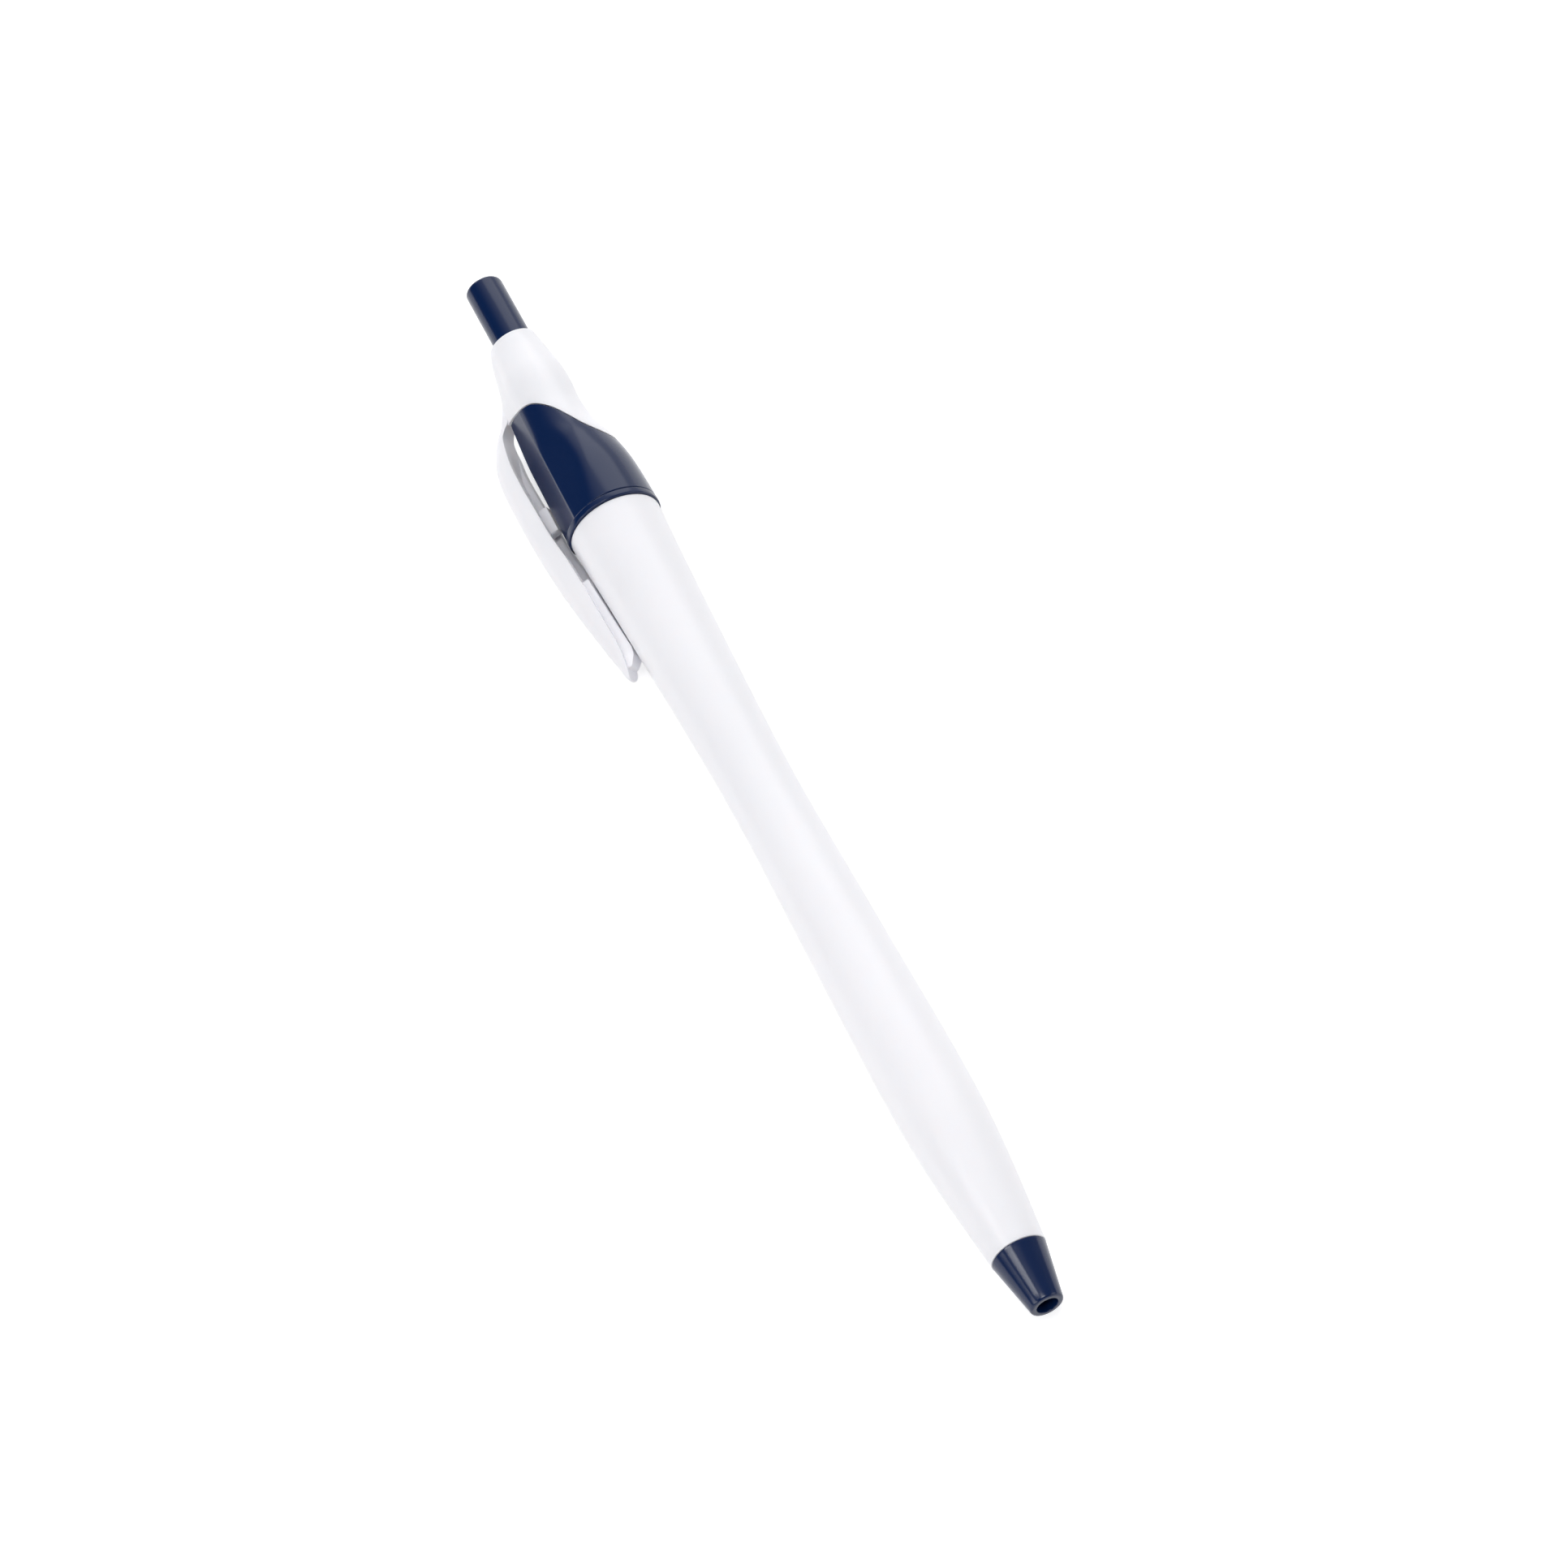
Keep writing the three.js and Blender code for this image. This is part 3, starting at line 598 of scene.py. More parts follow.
WHITE = Finish("white_plastic", (0.91, 0.905, 0.955), specular=0.45, grain=0.0015, subsurface=0.35)
NAVY = Finish("navy_plastic", (0.002, 0.0135, 0.063), roughness=0.2, specular=0.42, grain=0.0015)
ACETAL = Finish("acetal", (0.82, 0.82, 0.78), roughness=0.42)
TUBE = Finish("refill_tube_plastic", (0.75, 0.77, 0.78), roughness=0.28)
INK = Finish("ink", (0.01, 0.015, 0.10), roughness=0.12, grain=0.0005)
GREASE = Finish("grease", (0.75, 0.70, 0.52), roughness=0.15, grain=0.0005)
STEEL = Finish("steel", (0.62, 0.62, 0.63), roughness=0.22, metallic=1.0, mottling=0.2)
BRASS = Finish("brass", (0.72, 0.53, 0.22), roughness=0.25, metallic=1.0, mottling=0.2)


def dress(obj: Object, finish: Finish) -> None:
    """Gives obj its finish."""
    obj.data.materials.clear()
    obj.data.materials.append(finish.build())


# The pen's pieces


@dataclass
class Barrel:
    """The white barrel: one moulding with a waist and a swell for the fingers.

    Args:
        mouth: radius of the bore that takes the sleeve's foot.
        seat: station and radius of the bore that takes the nose cone's plug.
        bore: corners of the bore between the two.
    """

    facets: int = 160
    edge: float = 0.18
    mouth: float = 3.77
    seat: tuple[float, float] = (127.4, 2.25)
    bore: tuple[Knot, ...] = (
        Knot(127.3, 2.4, SOFT),
        Knot(98.5, 2.5, 2.0),
        Knot(71.5, 2.85, 2.0),
        Knot(45.2, 3.25, SOFT),
    )
    rings: int = 110

    def profile(self) -> Curve:
        """The barrel's outer radius by station."""
        near_start = (
            (0, SIZES.barrel_top), (16.4, 4.44), (36.4, SIZES.waist), (55.0, 4.13),
            (75.5, SIZES.grip),
        )
        near_joint = ((-12.3, SIZES.grip - 0.3), (0, SIZES.nose_joint_radius))
        return curve_from(SIZES.barrel_start, near_start, SIZES.nose_joint, near_joint)

    def build(self) -> Object:
        """Makes the barrel, hollow from end to end."""
        start, joint = SIZES.collar + 0.04, SIZES.nose_joint + 0.06
        outer = self.profile()
        seat, seat_radius = self.seat
        knots = [
            Knot(start, self.mouth, SOFT),
            Knot(start, SIZES.barrel_top, self.edge),
            *[Knot(s, float(outer(s))) for s in along(start + 0.4, joint - 0.4, self.rings)[:, 0]],
            Knot(joint, SIZES.nose_joint_radius, SOFT),
            Knot(joint, seat_radius, SOFT),
            Knot(seat, seat_radius, SOFT),
            *self.bore,
            Knot(self.bore[-1].a, self.mouth, SOFT),
        ]
        obj = turned_piece("barrel_shell", knots, self.facets)
        smooth_shading(obj)
        dress(obj, WHITE)
        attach(obj, Body.CASING.value)
        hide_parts("barrel")
        return obj


@dataclass
class NoseCone:
    """The navy cone, with its writing hole and the plug inside the barrel.

    Args:
        step_back: how far its rim stands behind the barrel's skin.
        plug: station of the plug's end and the plug's radius.
        bore: radius inside, which leaves room for the point.
        hole: stations between which the bore narrows to the writing hole.
        nearness: distances of the taper's first and last ring from the cone's ends.
        shares: how far along the change of radius those two rings are.
    """

    facets: int = 128
    step_back: float = 0.04
    plug: tuple[float, float] = (127.5, 2.2)
    bore: float = 1.6
    hole: tuple[float, float] = (134.8, 135.4)
    rings: int = 8
    nearness: tuple[float, float] = (0.3, 0.9)
    shares: tuple[float, float] = (0.05, 0.86)

    def build(self) -> Object:
        """Makes the cone with a rounded tip."""
        seat, end = SIZES.nose_seat, SIZES.length
        joint_radius = SIZES.nose_joint_radius - self.step_back
        near_seat, near_end = self.nearness
        stations = np.linspace(seat + near_seat, end - near_end, self.rings)
        plug_end, plug_radius = self.plug
        knots = [
            Knot(plug_end, self.bore, SOFT),
            Knot(plug_end, plug_radius, 0.3),
            Knot(seat, plug_radius),
            Knot(seat, joint_radius, SOFT),
            *[
                Knot(s, joint_radius + (SIZES.nose_end_radius - joint_radius) * share)
                for s, share in zip(stations, np.linspace(*self.shares, self.rings))
            ],
            Knot(end, SIZES.nose_end_radius, 0.5),
            Knot(end, SIZES.nose_bore, SOFT),
            Knot(self.hole[1], SIZES.nose_bore, 0.2),
            Knot(self.hole[0], self.bore, 0.2),
        ]
        obj = turned_piece("nose_cone_shell", knots, self.facets, steps=6)
        smooth_shading(obj)
        dress(obj, NAVY)
        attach(obj, Body.CASING.value)
        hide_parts("nose_cone")
        return obj


@dataclass
class ClickTeeth:
    """Teeth of the click mechanism, as stations over the angle."""

    count: int = 8
    height: float = 0.8

    @property
    def pitch(self) -> float:
        """Angle from tooth to tooth."""
        return 2 * math.pi / self.count

    def tooth(self, angle: Array) -> Array:
        """Height of the teeth at an angle: a row of even triangles."""
        phase = (angle / self.pitch) % 1
        return self.height * (1 - np.abs(2 * phase - 1))

    def near(self, angles: Array, width: float, radius: float, every: int = 1) -> Array:
        """True where an angle lies on a spline or groove of that width."""
        offset = (angles / self.pitch - 0.5) % every
        distance = np.minimum(offset, every - offset) * self.pitch * radius
        return distance < width / 2


TEETH = ClickTeeth()


@dataclass
class PushButton:
    """The navy button, with its splines and driving teeth inside the sleeve.

    Args:
        foot: stations between which the splines stand.
        spline: a spline's width and its radius outside.
        teeth: station of the teeth's roots, and radius inside them.
        hollow: corners of the hollow's blind end.
    """

    facets: int = 192
    face: float = 0.8
    edge: float = 0.5
    foot: tuple[float, float] = (27.4, 30.0)
    foot_radius: float = 2.4
    spline: tuple[float, float] = (0.75, 2.7)
    teeth: tuple[float, float] = (31.0, 1.5)
    hollow: tuple[Knot, ...] = (Knot(25.0, 1.5), Knot(19.0, 1.3), Knot(19.0, 0.0))

    def build(self) -> Object:
        """Makes the button, hollow behind its teeth."""
        angles = column_angles(self.facets)
        shank = SIZES.button_radius
        foot, foot_end = self.foot
        spline_width, spline_radius = self.spline
        splined = TEETH.near(angles, spline_width, 2.6)
        flange = np.where(splined, spline_radius, self.foot_radius)
        end = self.teeth[0] - TEETH.tooth(angles)
        knots = [
            Knot(0.0, 0.0),
            Knot(0.0, self.face),
            Knot(0.0, shank, self.edge),
            Knot(4.0, shank),
            Knot(SIZES.rim, shank),
            Knot(foot, shank, TIGHT),
            Knot(foot, flange, 0.08),
            Knot(foot_end, flange, 0.08),
            Knot(foot_end + 0.02, self.foot_radius),
            Knot(end, self.foot_radius, TIGHT),
            Knot(end, self.teeth[1], TIGHT),
            *self.hollow,
        ]
        obj = turned_piece("push_button_skin", knots, self.facets, steps=6)
        smooth_shading(obj)
        dress(obj, NAVY)
        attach(obj, Body.BUTTON.value)
        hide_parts("push_button")
        return obj


@dataclass
class Sleeve:
    """The navy insert: keeled outside, collar band, and the fluted guide in its bore.

    Args:
        gap: how far it stands off the cut towards the crown.
        foot: station and radius of the foot's end in the barrel.
        guide: stations of the guide's start and of its teeth's roots.
        guide_radii: radius of the ribs, of the flutes, and of the bore below the guide.
    """

    facets: int = 320
    rings: int = 46
    gap: float = 0.15
    band: float = 0.72
    groove: float = 0.12
    groove_depth: float = 0.12
    foot: tuple[float, float] = (45.0, 3.72)
    guide: tuple[float, float] = (27.3, 35.4)
    guide_radii: tuple[float, float, float] = (2.5, 2.8, 3.05)
    flute_width: float = 0.95

    def build(self) -> Object:
        """Makes the sleeve as one closed loop of stations and radii for every angle."""
        angles = column_angles(self.facets)
        edge = cut_edge(SLEEVE_SKIN, angles, self.gap)
        edge_radius = SLEEVE_SKIN(edge, angles)
        band_top = SIZES.collar - self.band
        skin_end = band_top - self.groove
        stations = along(edge + 0.12, skin_end - 0.12, self.rings)
        outside = [Knot(s, SLEEVE_SKIN(s, angles)) for s in stations]
        face_radii = along(SIZES.neck_radius, edge_radius, 5)[1:-1]
        face = [Knot(CUT_STATION(r * np.cos(angles)) + self.gap, r) for r in face_radii]
        neck_foot = CUT_STATION(SIZES.neck_radius * np.cos(angles)) + self.gap
        round_radius = SIZES.collar_radius
        groove_radius = round_radius - self.groove_depth
        skin_end_radius = SLEEVE_SKIN(np.full_like(angles, skin_end), angles)
        rib, fluted, bore = self.guide_radii
        flute = np.where(TEETH.near(angles, self.flute_width, fluted), fluted, rib)
        flute = np.where(TEETH.near(angles, self.flute_width, fluted, every=2), bore, flute)
        flute = np.minimum(flute, bore - 0.001)
        guide_end = self.guide[1] - TEETH.tooth(angles)
        foot, foot_radius = self.foot
        knots = [
            Knot(SIZES.neck_start, SIZES.button_bore, TIGHT),
            Knot(SIZES.neck_start, SIZES.neck_radius, SOFT),
            Knot(neck_foot, SIZES.neck_radius, TIGHT),
            *face,
            Knot(edge, edge_radius, SOFT),
            *outside,
            Knot(skin_end, skin_end_radius, 0.08),
            Knot(skin_end + 0.04, groove_radius, TIGHT),
            Knot(band_top, groove_radius, TIGHT),
            Knot(band_top + 0.02, round_radius, 0.12),
            Knot(SIZES.collar - 0.4, round_radius),
            Knot(SIZES.collar, round_radius, 0.15),
            Knot(SIZES.collar, foot_radius),
            Knot(foot, foot_radius, 0.3),
            Knot(foot, bore, SOFT),
            Knot(guide_end, bore),
            Knot(guide_end, flute),
            Knot(self.guide[0], flute),
            Knot(self.guide[0], SIZES.button_bore),
        ]
        obj = turned_piece("sleeve_shell", knots, self.facets)
        smooth_shading(obj)
        dress(obj, NAVY)
        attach(obj, Body.CASING.value)
        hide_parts("sleeve")
        return obj


@dataclass
class CrownAndClip:
    """The white crown and the clip that grows out of it, as one moulding.

    The clip is a channel-shaped blade with a stop lug near its root and a grip pad at its end.

    Args:
        pocket_gap: play round the sleeve's neck.
        buried: how far the blade's start lies before its root, inside the crown.
        bend: two pen points at the clip's root; they are placed in the row frame, and nothing uses
            them.
        wall: thickness of the blade's walls beside and above the channel.
        hollow: depth of the channel, as a share of what the wall leaves.
        pad_inset: how much narrower than the blade it is, on each side.
        pad_lift: how far its end rises off the barrel, and over what length.
        edge: rounding of pad and lug.
        power: the crowned section's exponent; root_power is added at the root.
    """

    facets: int = 320
    rings: int = 44
    pocket_gap: float = 0.05
    buried: float = 3.8
    tip_length: float = 1.5
    bend: tuple[tuple[float, float, float], ...] = ((16.9, 4.9, 0.0), (18.9, 7.4, 0.0))
    wall: float = 0.8
    hollow: float = 0.4
    pad_start: float = 39.4
    pad_end: float = 50.8
    pad_gap: float = 0.08
    pad_inset: float = 0.4
    pad_lift: tuple[float, float] = (1.1, 1.8)
    lug_start: float = 28.0
    lug_length: float = 3.3
    lug_half: float = 0.6
    lug_gap: float = 0.25
    edge: float = 0.12
    arc_steps: int = 24
    power: float = 2.5
    root_power: float = 0.8

    def crown(self) -> Object:
        """Makes the crown: outside, oblique end face, pocket for the neck and bore."""
        angles = column_angles(self.facets)
        edge = cut_edge(CROWN_SKIN, angles, 0)
        edge_radius = CROWN_SKIN(edge, angles)
        pocket = SIZES.neck_radius + self.pocket_gap
        stations = along(SIZES.rim + 0.15, edge - 0.1, self.rings)
        outside = [Knot(s, CROWN_SKIN(s, angles)) for s in stations]
        face_radii = along(edge_radius, pocket, 6)[1:-1]
        face = [Knot(CUT_STATION(r * np.cos(angles)), r) for r in face_radii]
        knots = [
            Knot(SIZES.rim, SIZES.button_bore, 0.08),
            Knot(SIZES.rim, CROWN_SKIN(np.full_like(angles, SIZES.rim), angles), 0.14),
            *outside,
            Knot(edge, edge_radius, SOFT),
            *face,
            Knot(CUT_STATION(pocket * np.cos(angles)), pocket, TIGHT),
            Knot(SIZES.neck_start - 0.1, pocket, TIGHT),
            Knot(SIZES.neck_start - 0.1, SIZES.button_bore, TIGHT),
        ]
        return turned_piece("crown_and_clip", knots, self.facets)

    def outer(self) -> Curve:
        """Reach of the blade's top by station."""
        near_root = (
            (-self.buried, 4.1), (-2.6, 4.72), (-1.8, 5.18), (-1, 5.62), (0, 6.35), (1.3, 7.25),
            (2.5, 7.95), (4.1, 8.6), (6.7, 8.97), (13.7, 9.02), (21.7, 8.6), (31.6, 7.3),
        )
        return curve_from(SIZES.clip_root, near_root, SIZES.clip_end, ((-1.0, 6.8), (0, 6.15)))

    def inner(self) -> Curve:
        """Reach of the blade's inner face by station."""
        near_root = (
            (-self.buried, 3.6), (-1, 4.5), (0, 5.25), (0.7, 5.75), (1.7, 5.98), (2.6, 6.08),
            (4.9, 6.34), (8.0, 6.36), (11.8, 6.23), (15.5, 6.1), (19.9, 5.72), (28.0, 5.54),
            (31.3, 5.6),
        )
        return curve_from(SIZES.clip_root, near_root, SIZES.clip_end, ((-1.7, 5.9), (0, 6.15)))

    def half_width(self) -> Curve:
        """Half of the blade's width by station."""
        near_root = (
            (-self.buried, 0.5), (-1, 0.8), (0, 1.05), (1.5, 1.45), (4.0, 1.9), (12.0, 2.35),
            (24.0, 2.2), (29.0, 1.9),
        )
        return curve_from(SIZES.clip_root, near_root, SIZES.clip_end, ((-1.7, 1.3), (0, 0.8)))

    def crowned(self, inner: Array, outer: Array, half: Array, power: Array) -> list[Knot]:
        """The section's sides and top, from one lower corner over to the other.

        The outline is a superellipse: each coordinate is a sine or cosine raised to 2 / power.
        """
        turn = np.linspace(0, math.pi, self.arc_steps + 1)[:, None]
        rise = np.abs(np.sin(turn)) ** (2 / power)
        reach = inner + (outer - inner) * rise
        width = half * np.sign(np.cos(turn)) * np.abs(np.cos(turn)) ** (2 / power)
        return [Knot(c, h) for c, h in zip(reach, width)]

    def swept(self, s: Array, knots: Sequence[Knot]) -> Array:
        """Returns sections of rounded corners, shaped (points, stations, 3), closed to a point."""
        reach, width = rounded_path(knots, len(s))
        rings = np.stack([np.broadcast_to(s, reach.shape), reach, width], -1)
        first = np.broadcast_to(rings[:, :1].mean(0, keepdims=True), rings[:, :1].shape)
        last = np.broadcast_to(rings[:, -1:].mean(0, keepdims=True), rings[:, -1:].shape)
        return np.concatenate([first, rings, last], 1)

    def blade(self) -> Object:
        """Makes the blade, rooted inside the crown, with a channel and a rounded tip."""
        root, end = SIZES.clip_root, SIZES.clip_end
        tip = end - self.tip_length
        turn = np.linspace(0, 0.46 * math.pi, 15)[1:]
        body = np.concatenate(
            [np.linspace(root - self.buried, root + 8, 64), np.linspace(root + 8, tip, 90)[1:]]
        )
        s = np.concatenate([body, tip + (end - tip) * np.sin(turn)])
        closing = np.concatenate([np.ones(len(body)), np.cos(turn)])
        outer = self.outer()(np.minimum(s, tip))
        inner = self.inner()(s)
        half = self.half_width()(np.minimum(s, tip))
        depth = self.step(s, root + 2.4, 4.0) * (1 - self.step(s, self.pad_start - 1.0, 0.3))
        depth = depth * self.hollow * (outer - inner - self.wall)
        middle = inner + 0.5 * (outer - inner)
        inner = middle + (inner - middle) * closing
        outer = middle + (outer - middle) * closing
        half = half * np.maximum(closing, 0.02) ** 0.7
        channel = np.maximum(half - self.wall, 0.15 * half)
        power = self.power + self.root_power * (1 - self.step(s, root - 0.5, 5.0))
        floor = inner + depth * closing
        knots = [
            *self.crowned(inner, outer, half, power),
            Knot(inner, -half + 0.12, 0.1),
            Knot(inner, -channel, 0.12),
            Knot(floor, -channel, 0.15),
            Knot(floor, channel, 0.15),
            Knot(inner, channel, 0.12),
            Knot(inner, half - 0.12, 0.1),
        ]
        return grid_piece("clip_blade_part", self.swept(s, knots), wrap_columns=False)

    @staticmethod
    def step(s: Array, start: float, length: float) -> Array:
        """A smooth step from 0 to 1 that begins at start."""
        u = np.clip((s - start) / length, 0, 1)
        return u * u * (3 - 2 * u)

    def eased_ends(self, s: Array) -> Array:
        """How far a block's rounded ends stand back: a quarter circle at both ends."""
        reach = self.edge
        inward = np.minimum(s - s[0], s[-1] - s)
        return reach - np.sqrt(np.maximum(reach**2 - np.maximum(reach - inward, 0) ** 2, 0))

    def end_stations(self, start: float, length: float) -> Array:
        """Stations of a short block, dense at its rounded ends."""
        ease = self.edge * (1 - np.cos(np.linspace(0, math.pi / 2, 5)))
        middle = np.linspace(self.edge, length - self.edge, 14)[1:-1]
        return start + np.concatenate([ease, middle, length - ease[::-1]])

    def lug(self) -> Object:
        """Makes the stop lug between the blade and the sleeve."""
        s = self.end_stations(self.lug_start, self.lug_length)
        back = self.eased_ends(s)
        low = SLEEVE_CREST(s) + self.lug_gap + back
        high = self.outer()(s) - 0.5 * self.wall
        half = self.lug_half - back
        knots = [Knot(low, -half, self.edge), Knot(low, half, self.edge)]
        knots += [Knot(high, half), Knot(high, -half)]
        return grid_piece("clip_lug_part", self.swept(s, knots), wrap_columns=False)

    def pad(self) -> Object:
        """Makes the grip pad, hollowed to the barrel that it lies on."""
        s = self.end_stations(self.pad_start, self.pad_end - self.pad_start)
        back = self.eased_ends(s)
        half = self.half_width()(s) - self.pad_inset - back
        rise, run = self.pad_lift
        lift = rise * np.clip((s - self.pad_end + run) / run, 0, 1) ** 2
        barrel = Barrel().profile()(s)
        high = self.inner()(s) + 0.5
        knots = [Knot(high, half), Knot(high, -half)]
        for share in np.linspace(-1, 1, 17):
            hollow = np.sqrt((barrel + self.pad_gap) ** 2 - (share * half) ** 2)
            face = np.maximum(hollow, barrel - 0.02) + back + lift
            knots.append(Knot(np.minimum(face, high - 0.1), share * half))
        return grid_piece("clip_pad_part", self.swept(s, knots), wrap_columns=False)

    def build(self) -> Object:
        """Joins crown, blade, lug and pad into one moulding."""
        obj = union(self.crown(), self.blade(), self.lug(), self.pad())
        smooth_shading(obj, 35)
        dress(obj, WHITE)
        start, end = PEN.place(np.array(self.bend))
        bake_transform(obj)
        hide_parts("crown", "clip")
        return obj


@dataclass
class ReturnSpring:
    """The steel return spring: a round wire wound with closed end turns.

    Its head rests at the refill's ears and its foot stands on the nose cone.

    Args:
        mean_radius: radius of the helix.
        spacing: gap between the closed end turns.
        closed: how many turns are closed at each end.
        firm: how far in from each end two points are placed; nothing uses them.
        sides: how many sides the wire's section has.
    """

    mean_radius: float = 1.93
    wire: float = 0.34
    turns: int = 12
    closed: float = 1.25
    start: float = 104.77
    end: float = 127.23
    firm: float = 0.4
    spacing: float = 0.16
    pieces: int = 48
    sides: int = 12

    def build(self) -> Object:
        """Sweeps the wire's round section along the helix."""
        pitch = self.wire + self.spacing
        free = self.end - self.start - 2 * self.closed * pitch
        open_pitch = free / (self.turns - 2 * self.closed)
        turn = np.linspace(0, self.turns, self.turns * self.pieces + 1)
        head = np.minimum(turn, self.closed)
        tail = np.maximum(turn - (self.turns - self.closed), 0)
        axial = self.start + pitch * (head + tail) + open_pitch * (turn - head - tail)
        around = np.linspace(0, 2 * math.pi, self.sides, endpoint=False)[:, None]
        size = np.full_like(turn, self.wire / 2)
        size[[0, -1]] = 0
        radius = self.mean_radius + size * np.cos(around)
        angle = np.broadcast_to(turn * 2 * math.pi, radius.shape)
        s = axial + size * np.sin(around)
        grid = turned_grid(s, radius, angle)
        obj = grid_piece("return_spring_wire", grid, wrap_columns=False)
        smooth_shading(obj)
        dress(obj, STEEL)
        start = PEN.place(np.array([self.start + self.firm, 0.0, 0.0]))
        end = PEN.place(np.array([self.end - self.firm, 0.0, 0.0]))
        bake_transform(obj)
        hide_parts("return_spring")
        return obj


@dataclass
class CarriedNodes:
    """CAD nodes inside the casing that keep their own mesh and get a finish."""

    finishes: dict[str, tuple[Finish, str]] = field(
        default_factory=lambda: {
            "rotor": (ACETAL, "acetal"),
            "refill_tube": (TUBE, "refill_plastic"),
            "ink_column": (INK, "ink"),
            "grease_follower": (GREASE, "grease"),
            "point_holder": (BRASS, "brass"),
            "writing_point": (BRASS, "brass"),
            "writing_ball": (STEEL, "steel"),
        }
    )

    def build(self) -> list[Object]:
        """Dresses the nodes; their shapes stay as packed."""
        for name, (finish, slot) in self.finishes.items():
            dress(frame["nodes"][name], finish)
        return [frame["nodes"][name] for name in self.finishes]


# Floor, light and camera


@dataclass(frozen=True)
class Softbox:
    """An oblong lamp with an even glow, aimed at the pen's middle; sizes in metres.

    Args:
        towards: direction from the pen's middle to the lamp.
        glow: its radiance, where 1 is as bright as white paper in full light.
    """

    name: str
    towards: tuple[float, float, float]
    distance: float
    size: tuple[float, float]
    glow: float

    def build(self) -> None:
        """Adds the lamp. Its power is its glow times its area times pi."""
        data = bpy.data.lights.new(self.name, "AREA")
        data.shape = "RECTANGLE"
        data.size, data.size_y = self.size
        data.energy = self.glow * self.size[0] * self.size[1] * math.pi
        obj = bpy.data.objects.new(self.name, data)
        bpy.context.scene.collection.objects.link(obj)
        middle = Vector(PEN_MIDDLE)
        obj.location = middle + Vector(self.towards).normalized() * self.distance
        obj.rotation_euler = (middle - obj.location).to_track_quat("-Z", "Y").to_euler()


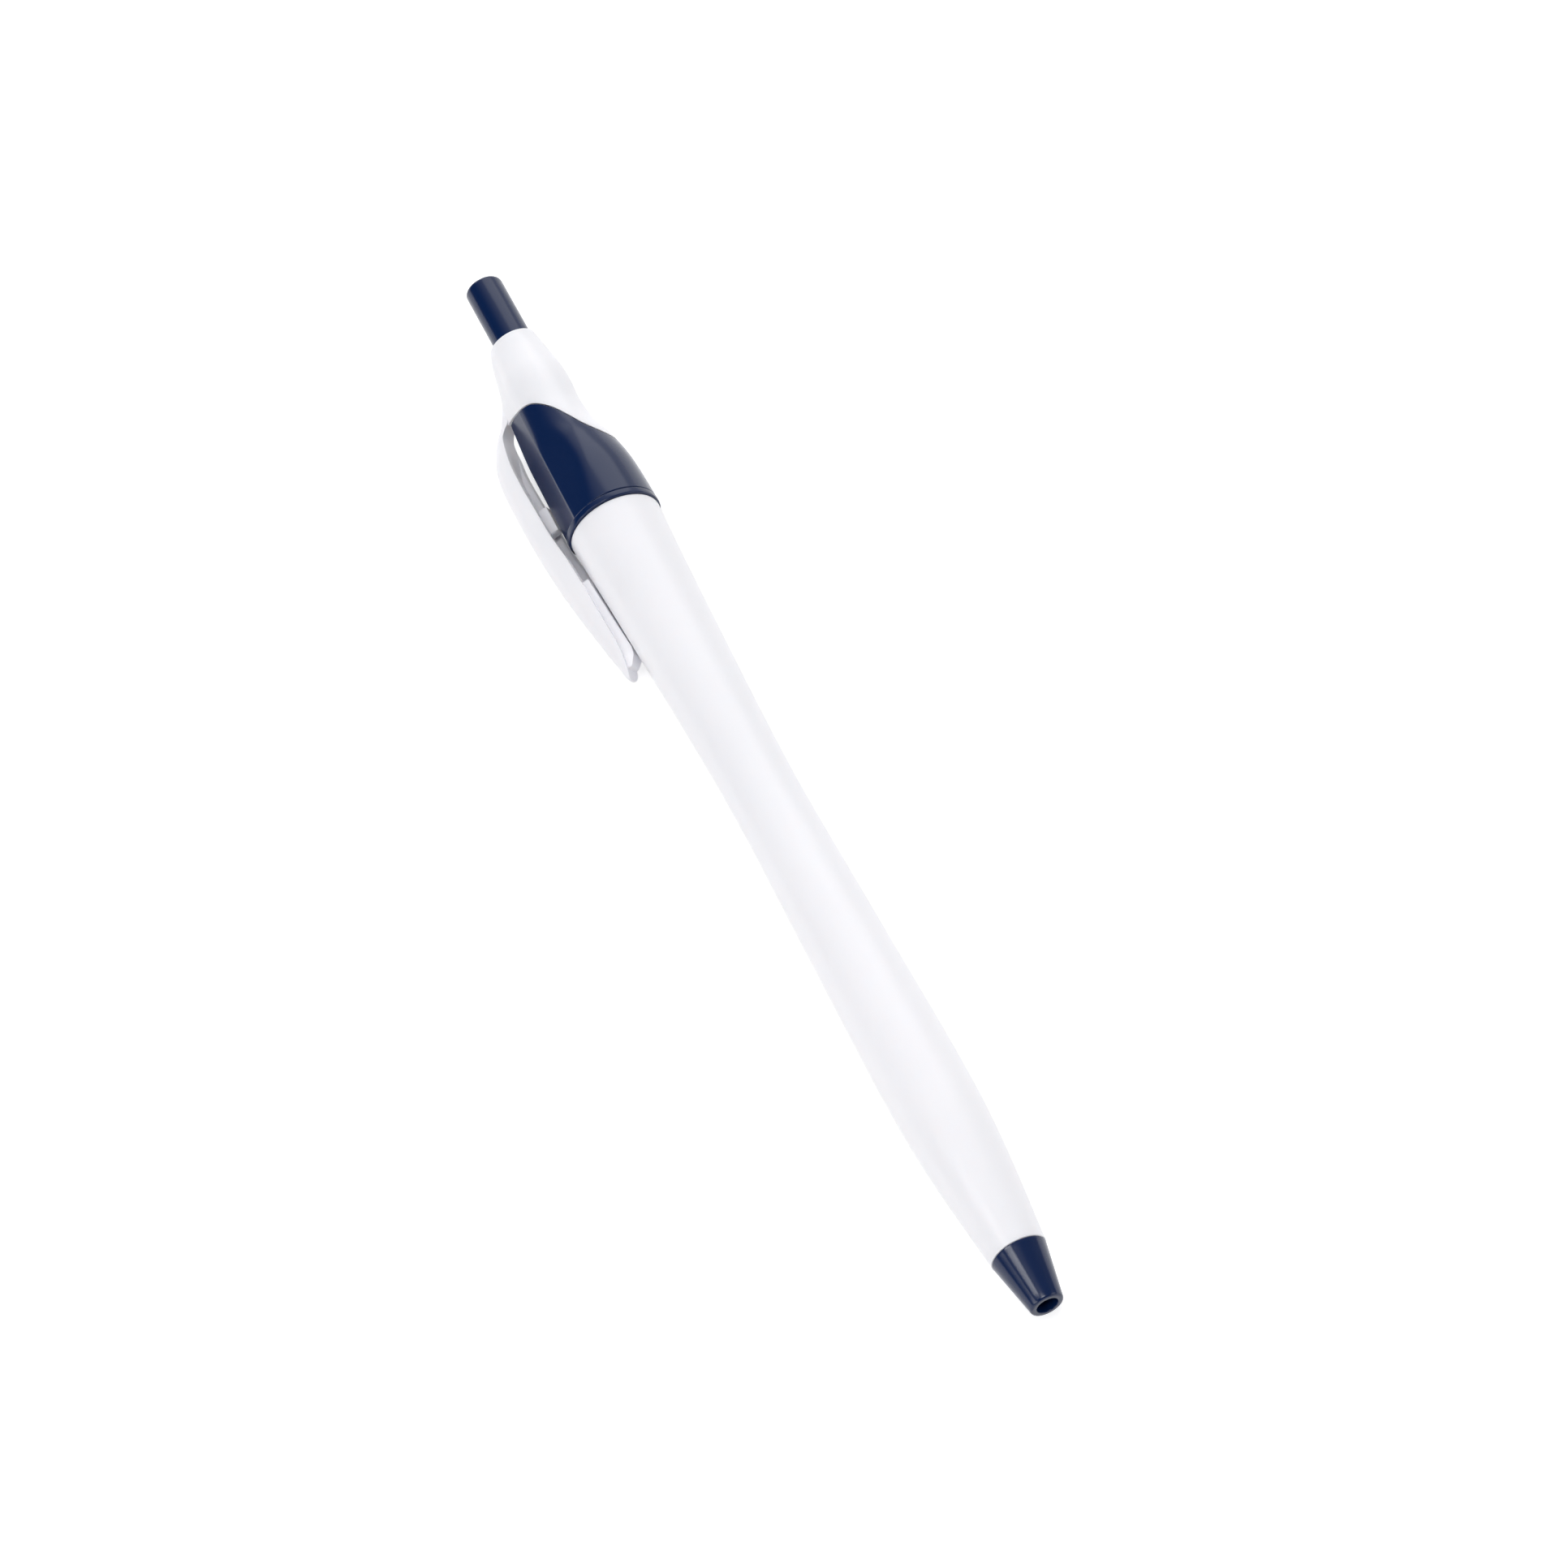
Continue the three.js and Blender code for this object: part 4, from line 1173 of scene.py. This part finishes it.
@dataclass
class Studio:
    """A pale floor, soft light and the camera at the photograph's angle.

    Args:
        floor_level: height of the floor under the collar, in millimetres.
        floor_glow: light that the floor adds for rays that show it as it is.
        ramps: the world's axis, two places on it, and the levels there.
        camera_at: the camera's place in pen coordinates.
        aim: the point it looks at, in pen coordinates.
        upward: the picture's upward direction, in pen coordinates.
    """

    floor_level: float = -5.35
    floor_size: float = 4.0
    floor_paint: float = 0.85
    floor_glow: float = 0.5
    ramps: tuple[tuple[str, float, float, float, float], ...] = (
        ("Y", -0.65, 0.35, 0.04, 0.95),
        ("X", -0.15, -0.42, 0.2, 1.0),
    )
    camera_at: tuple[float, float, float] = (483.64, -179.12, 675.25)
    aim: tuple[float, float, float] = (72.41, -2.087, -1.226)
    upward: tuple[float, float, float] = (0.0, -0.50643, 0.86228)
    lens: float = 179.72
    sensor: float = 36.0
    lamps: tuple[Softbox, ...] = (
        Softbox("left_wall", (0.33, -0.84, 0.42), 1.15, (1.0, 0.45), 3.25),
        Softbox("nose_box", (-0.106, -0.561, 0.931), 1.09, (0.14, 0.5), 10.5),
        Softbox("top_box", (0.25, -0.05, 1.0), 1.2, (0.45, 0.45), 7.5),
        Softbox("side_box", (0.35, 0.8, 0.35), 1.2, (0.9, 0.5), 1.6),
        Softbox("tail_box", (-0.98, -0.03, 0.17), 1.1, (0.5, 0.16), 7.5),
        Softbox("right_box", (-0.66, 0.5, 0.56), 1.2, (0.8, 0.8), 1.2),
    )

    def floor(self) -> None:
        """A wide pale floor that shows white and keeps a soft shadow."""
        size, level = self.floor_size, self.floor_level * MM
        corners = [(-size, -size), (size, -size), (size, size), (-size, size)]
        mesh = bpy.data.meshes.new("floor")
        mesh.from_pydata([(x, y, level) for x, y in corners], [], [(0, 1, 2, 3)])
        obj = bpy.data.objects.new("floor", mesh)
        bpy.context.scene.collection.objects.link(obj)
        material = bpy.data.materials.new("floor_pale")
        material.use_nodes = True
        shading = Shading(material.node_tree)
        shading.tree.nodes.clear()
        paint = shading.add("BsdfDiffuse", {"Color": (*[self.floor_paint] * 3, 1)})
        strength = shading.math("MULTIPLY", shading.plain_rays(), self.floor_glow)
        glow = shading.add("Emission", {"Strength": strength})
        total = shading.add("AddShader", {0: paint.outputs[0], 1: glow.outputs[0]})
        shading.add("OutputMaterial", {"Surface": total.outputs[0]})
        mesh.materials.append(material)

    def world(self) -> None:
        """Surroundings that are white to the camera and dim towards the clip's side."""
        world = bpy.data.worlds.new("studio")
        bpy.context.scene.world = world
        world.use_nodes = True
        shading = Shading(world.node_tree)
        place = shading.add("TexCoord").outputs["Generated"]
        split = shading.add("SeparateXYZ", {0: place}).outputs
        levels = []
        for axis, low, high, first, last in self.ramps:
            inputs = {"From Min": low, "From Max": high, "To Min": first, "To Max": last}
            ramp = shading.add("MapRange", inputs, interpolation_type="SMOOTHSTEP")
            shading.feed(ramp, {"Value": split[axis]})
            levels.append(ramp.outputs["Result"])
        seen = shading.add("LightPath").outputs["Is Camera Ray"]
        inputs = {"Factor": seen, "A": shading.math("MULTIPLY", *levels), "B": 1.0}
        strength = shading.add("Mix", inputs, data_type="FLOAT").outputs["Result"]
        background = {"Color": (1, 1, 1, 1), "Strength": strength}
        shading.feed(shading.tree.nodes["Background"], background)

    def camera(self) -> None:
        """The camera, solved from the pen's tilt and the gap under the clip in the photograph."""
        data = bpy.data.cameras.new("camera")
        data.sensor_width = self.sensor
        data.lens = self.lens
        data.clip_start, data.clip_end = 0.01, 20
        obj = bpy.data.objects.new("camera", data)
        bpy.context.scene.collection.objects.link(obj)
        place = Vector(PEN.place(np.array(self.camera_at)))
        back = (place - Vector(PEN.place(np.array(self.aim)))).normalized()
        right = Vector(PEN.place(np.array(self.upward))).cross(back).normalized()
        rows = Matrix((right, back.cross(right), back))
        obj.matrix_world = Matrix.Translation(place) @ rows.transposed().to_4x4()
        bpy.context.scene.camera = obj

    def build(self) -> None:
        """Sets up the whole studio."""
        self.floor()
        self.world()
        for lamp in self.lamps:
            lamp.build()
        self.camera()
        bpy.context.scene.view_settings.view_transform = "Standard"


def main() -> None:
    """Builds every piece in order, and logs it."""
    logging.basicConfig(level=logging.INFO)
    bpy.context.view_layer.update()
    builders = [Barrel(), NoseCone(), PushButton(), Sleeve(), CrownAndClip(), ReturnSpring()]
    for builder in builders:
        made = builder.build()
        LOG.info("built %s with %d faces", made.name, len(made.data.polygons))
    for made in CarriedNodes().build():
        LOG.info("dressed %s", made.name)
    Studio().build()


if __name__ == "__main__":
    main()
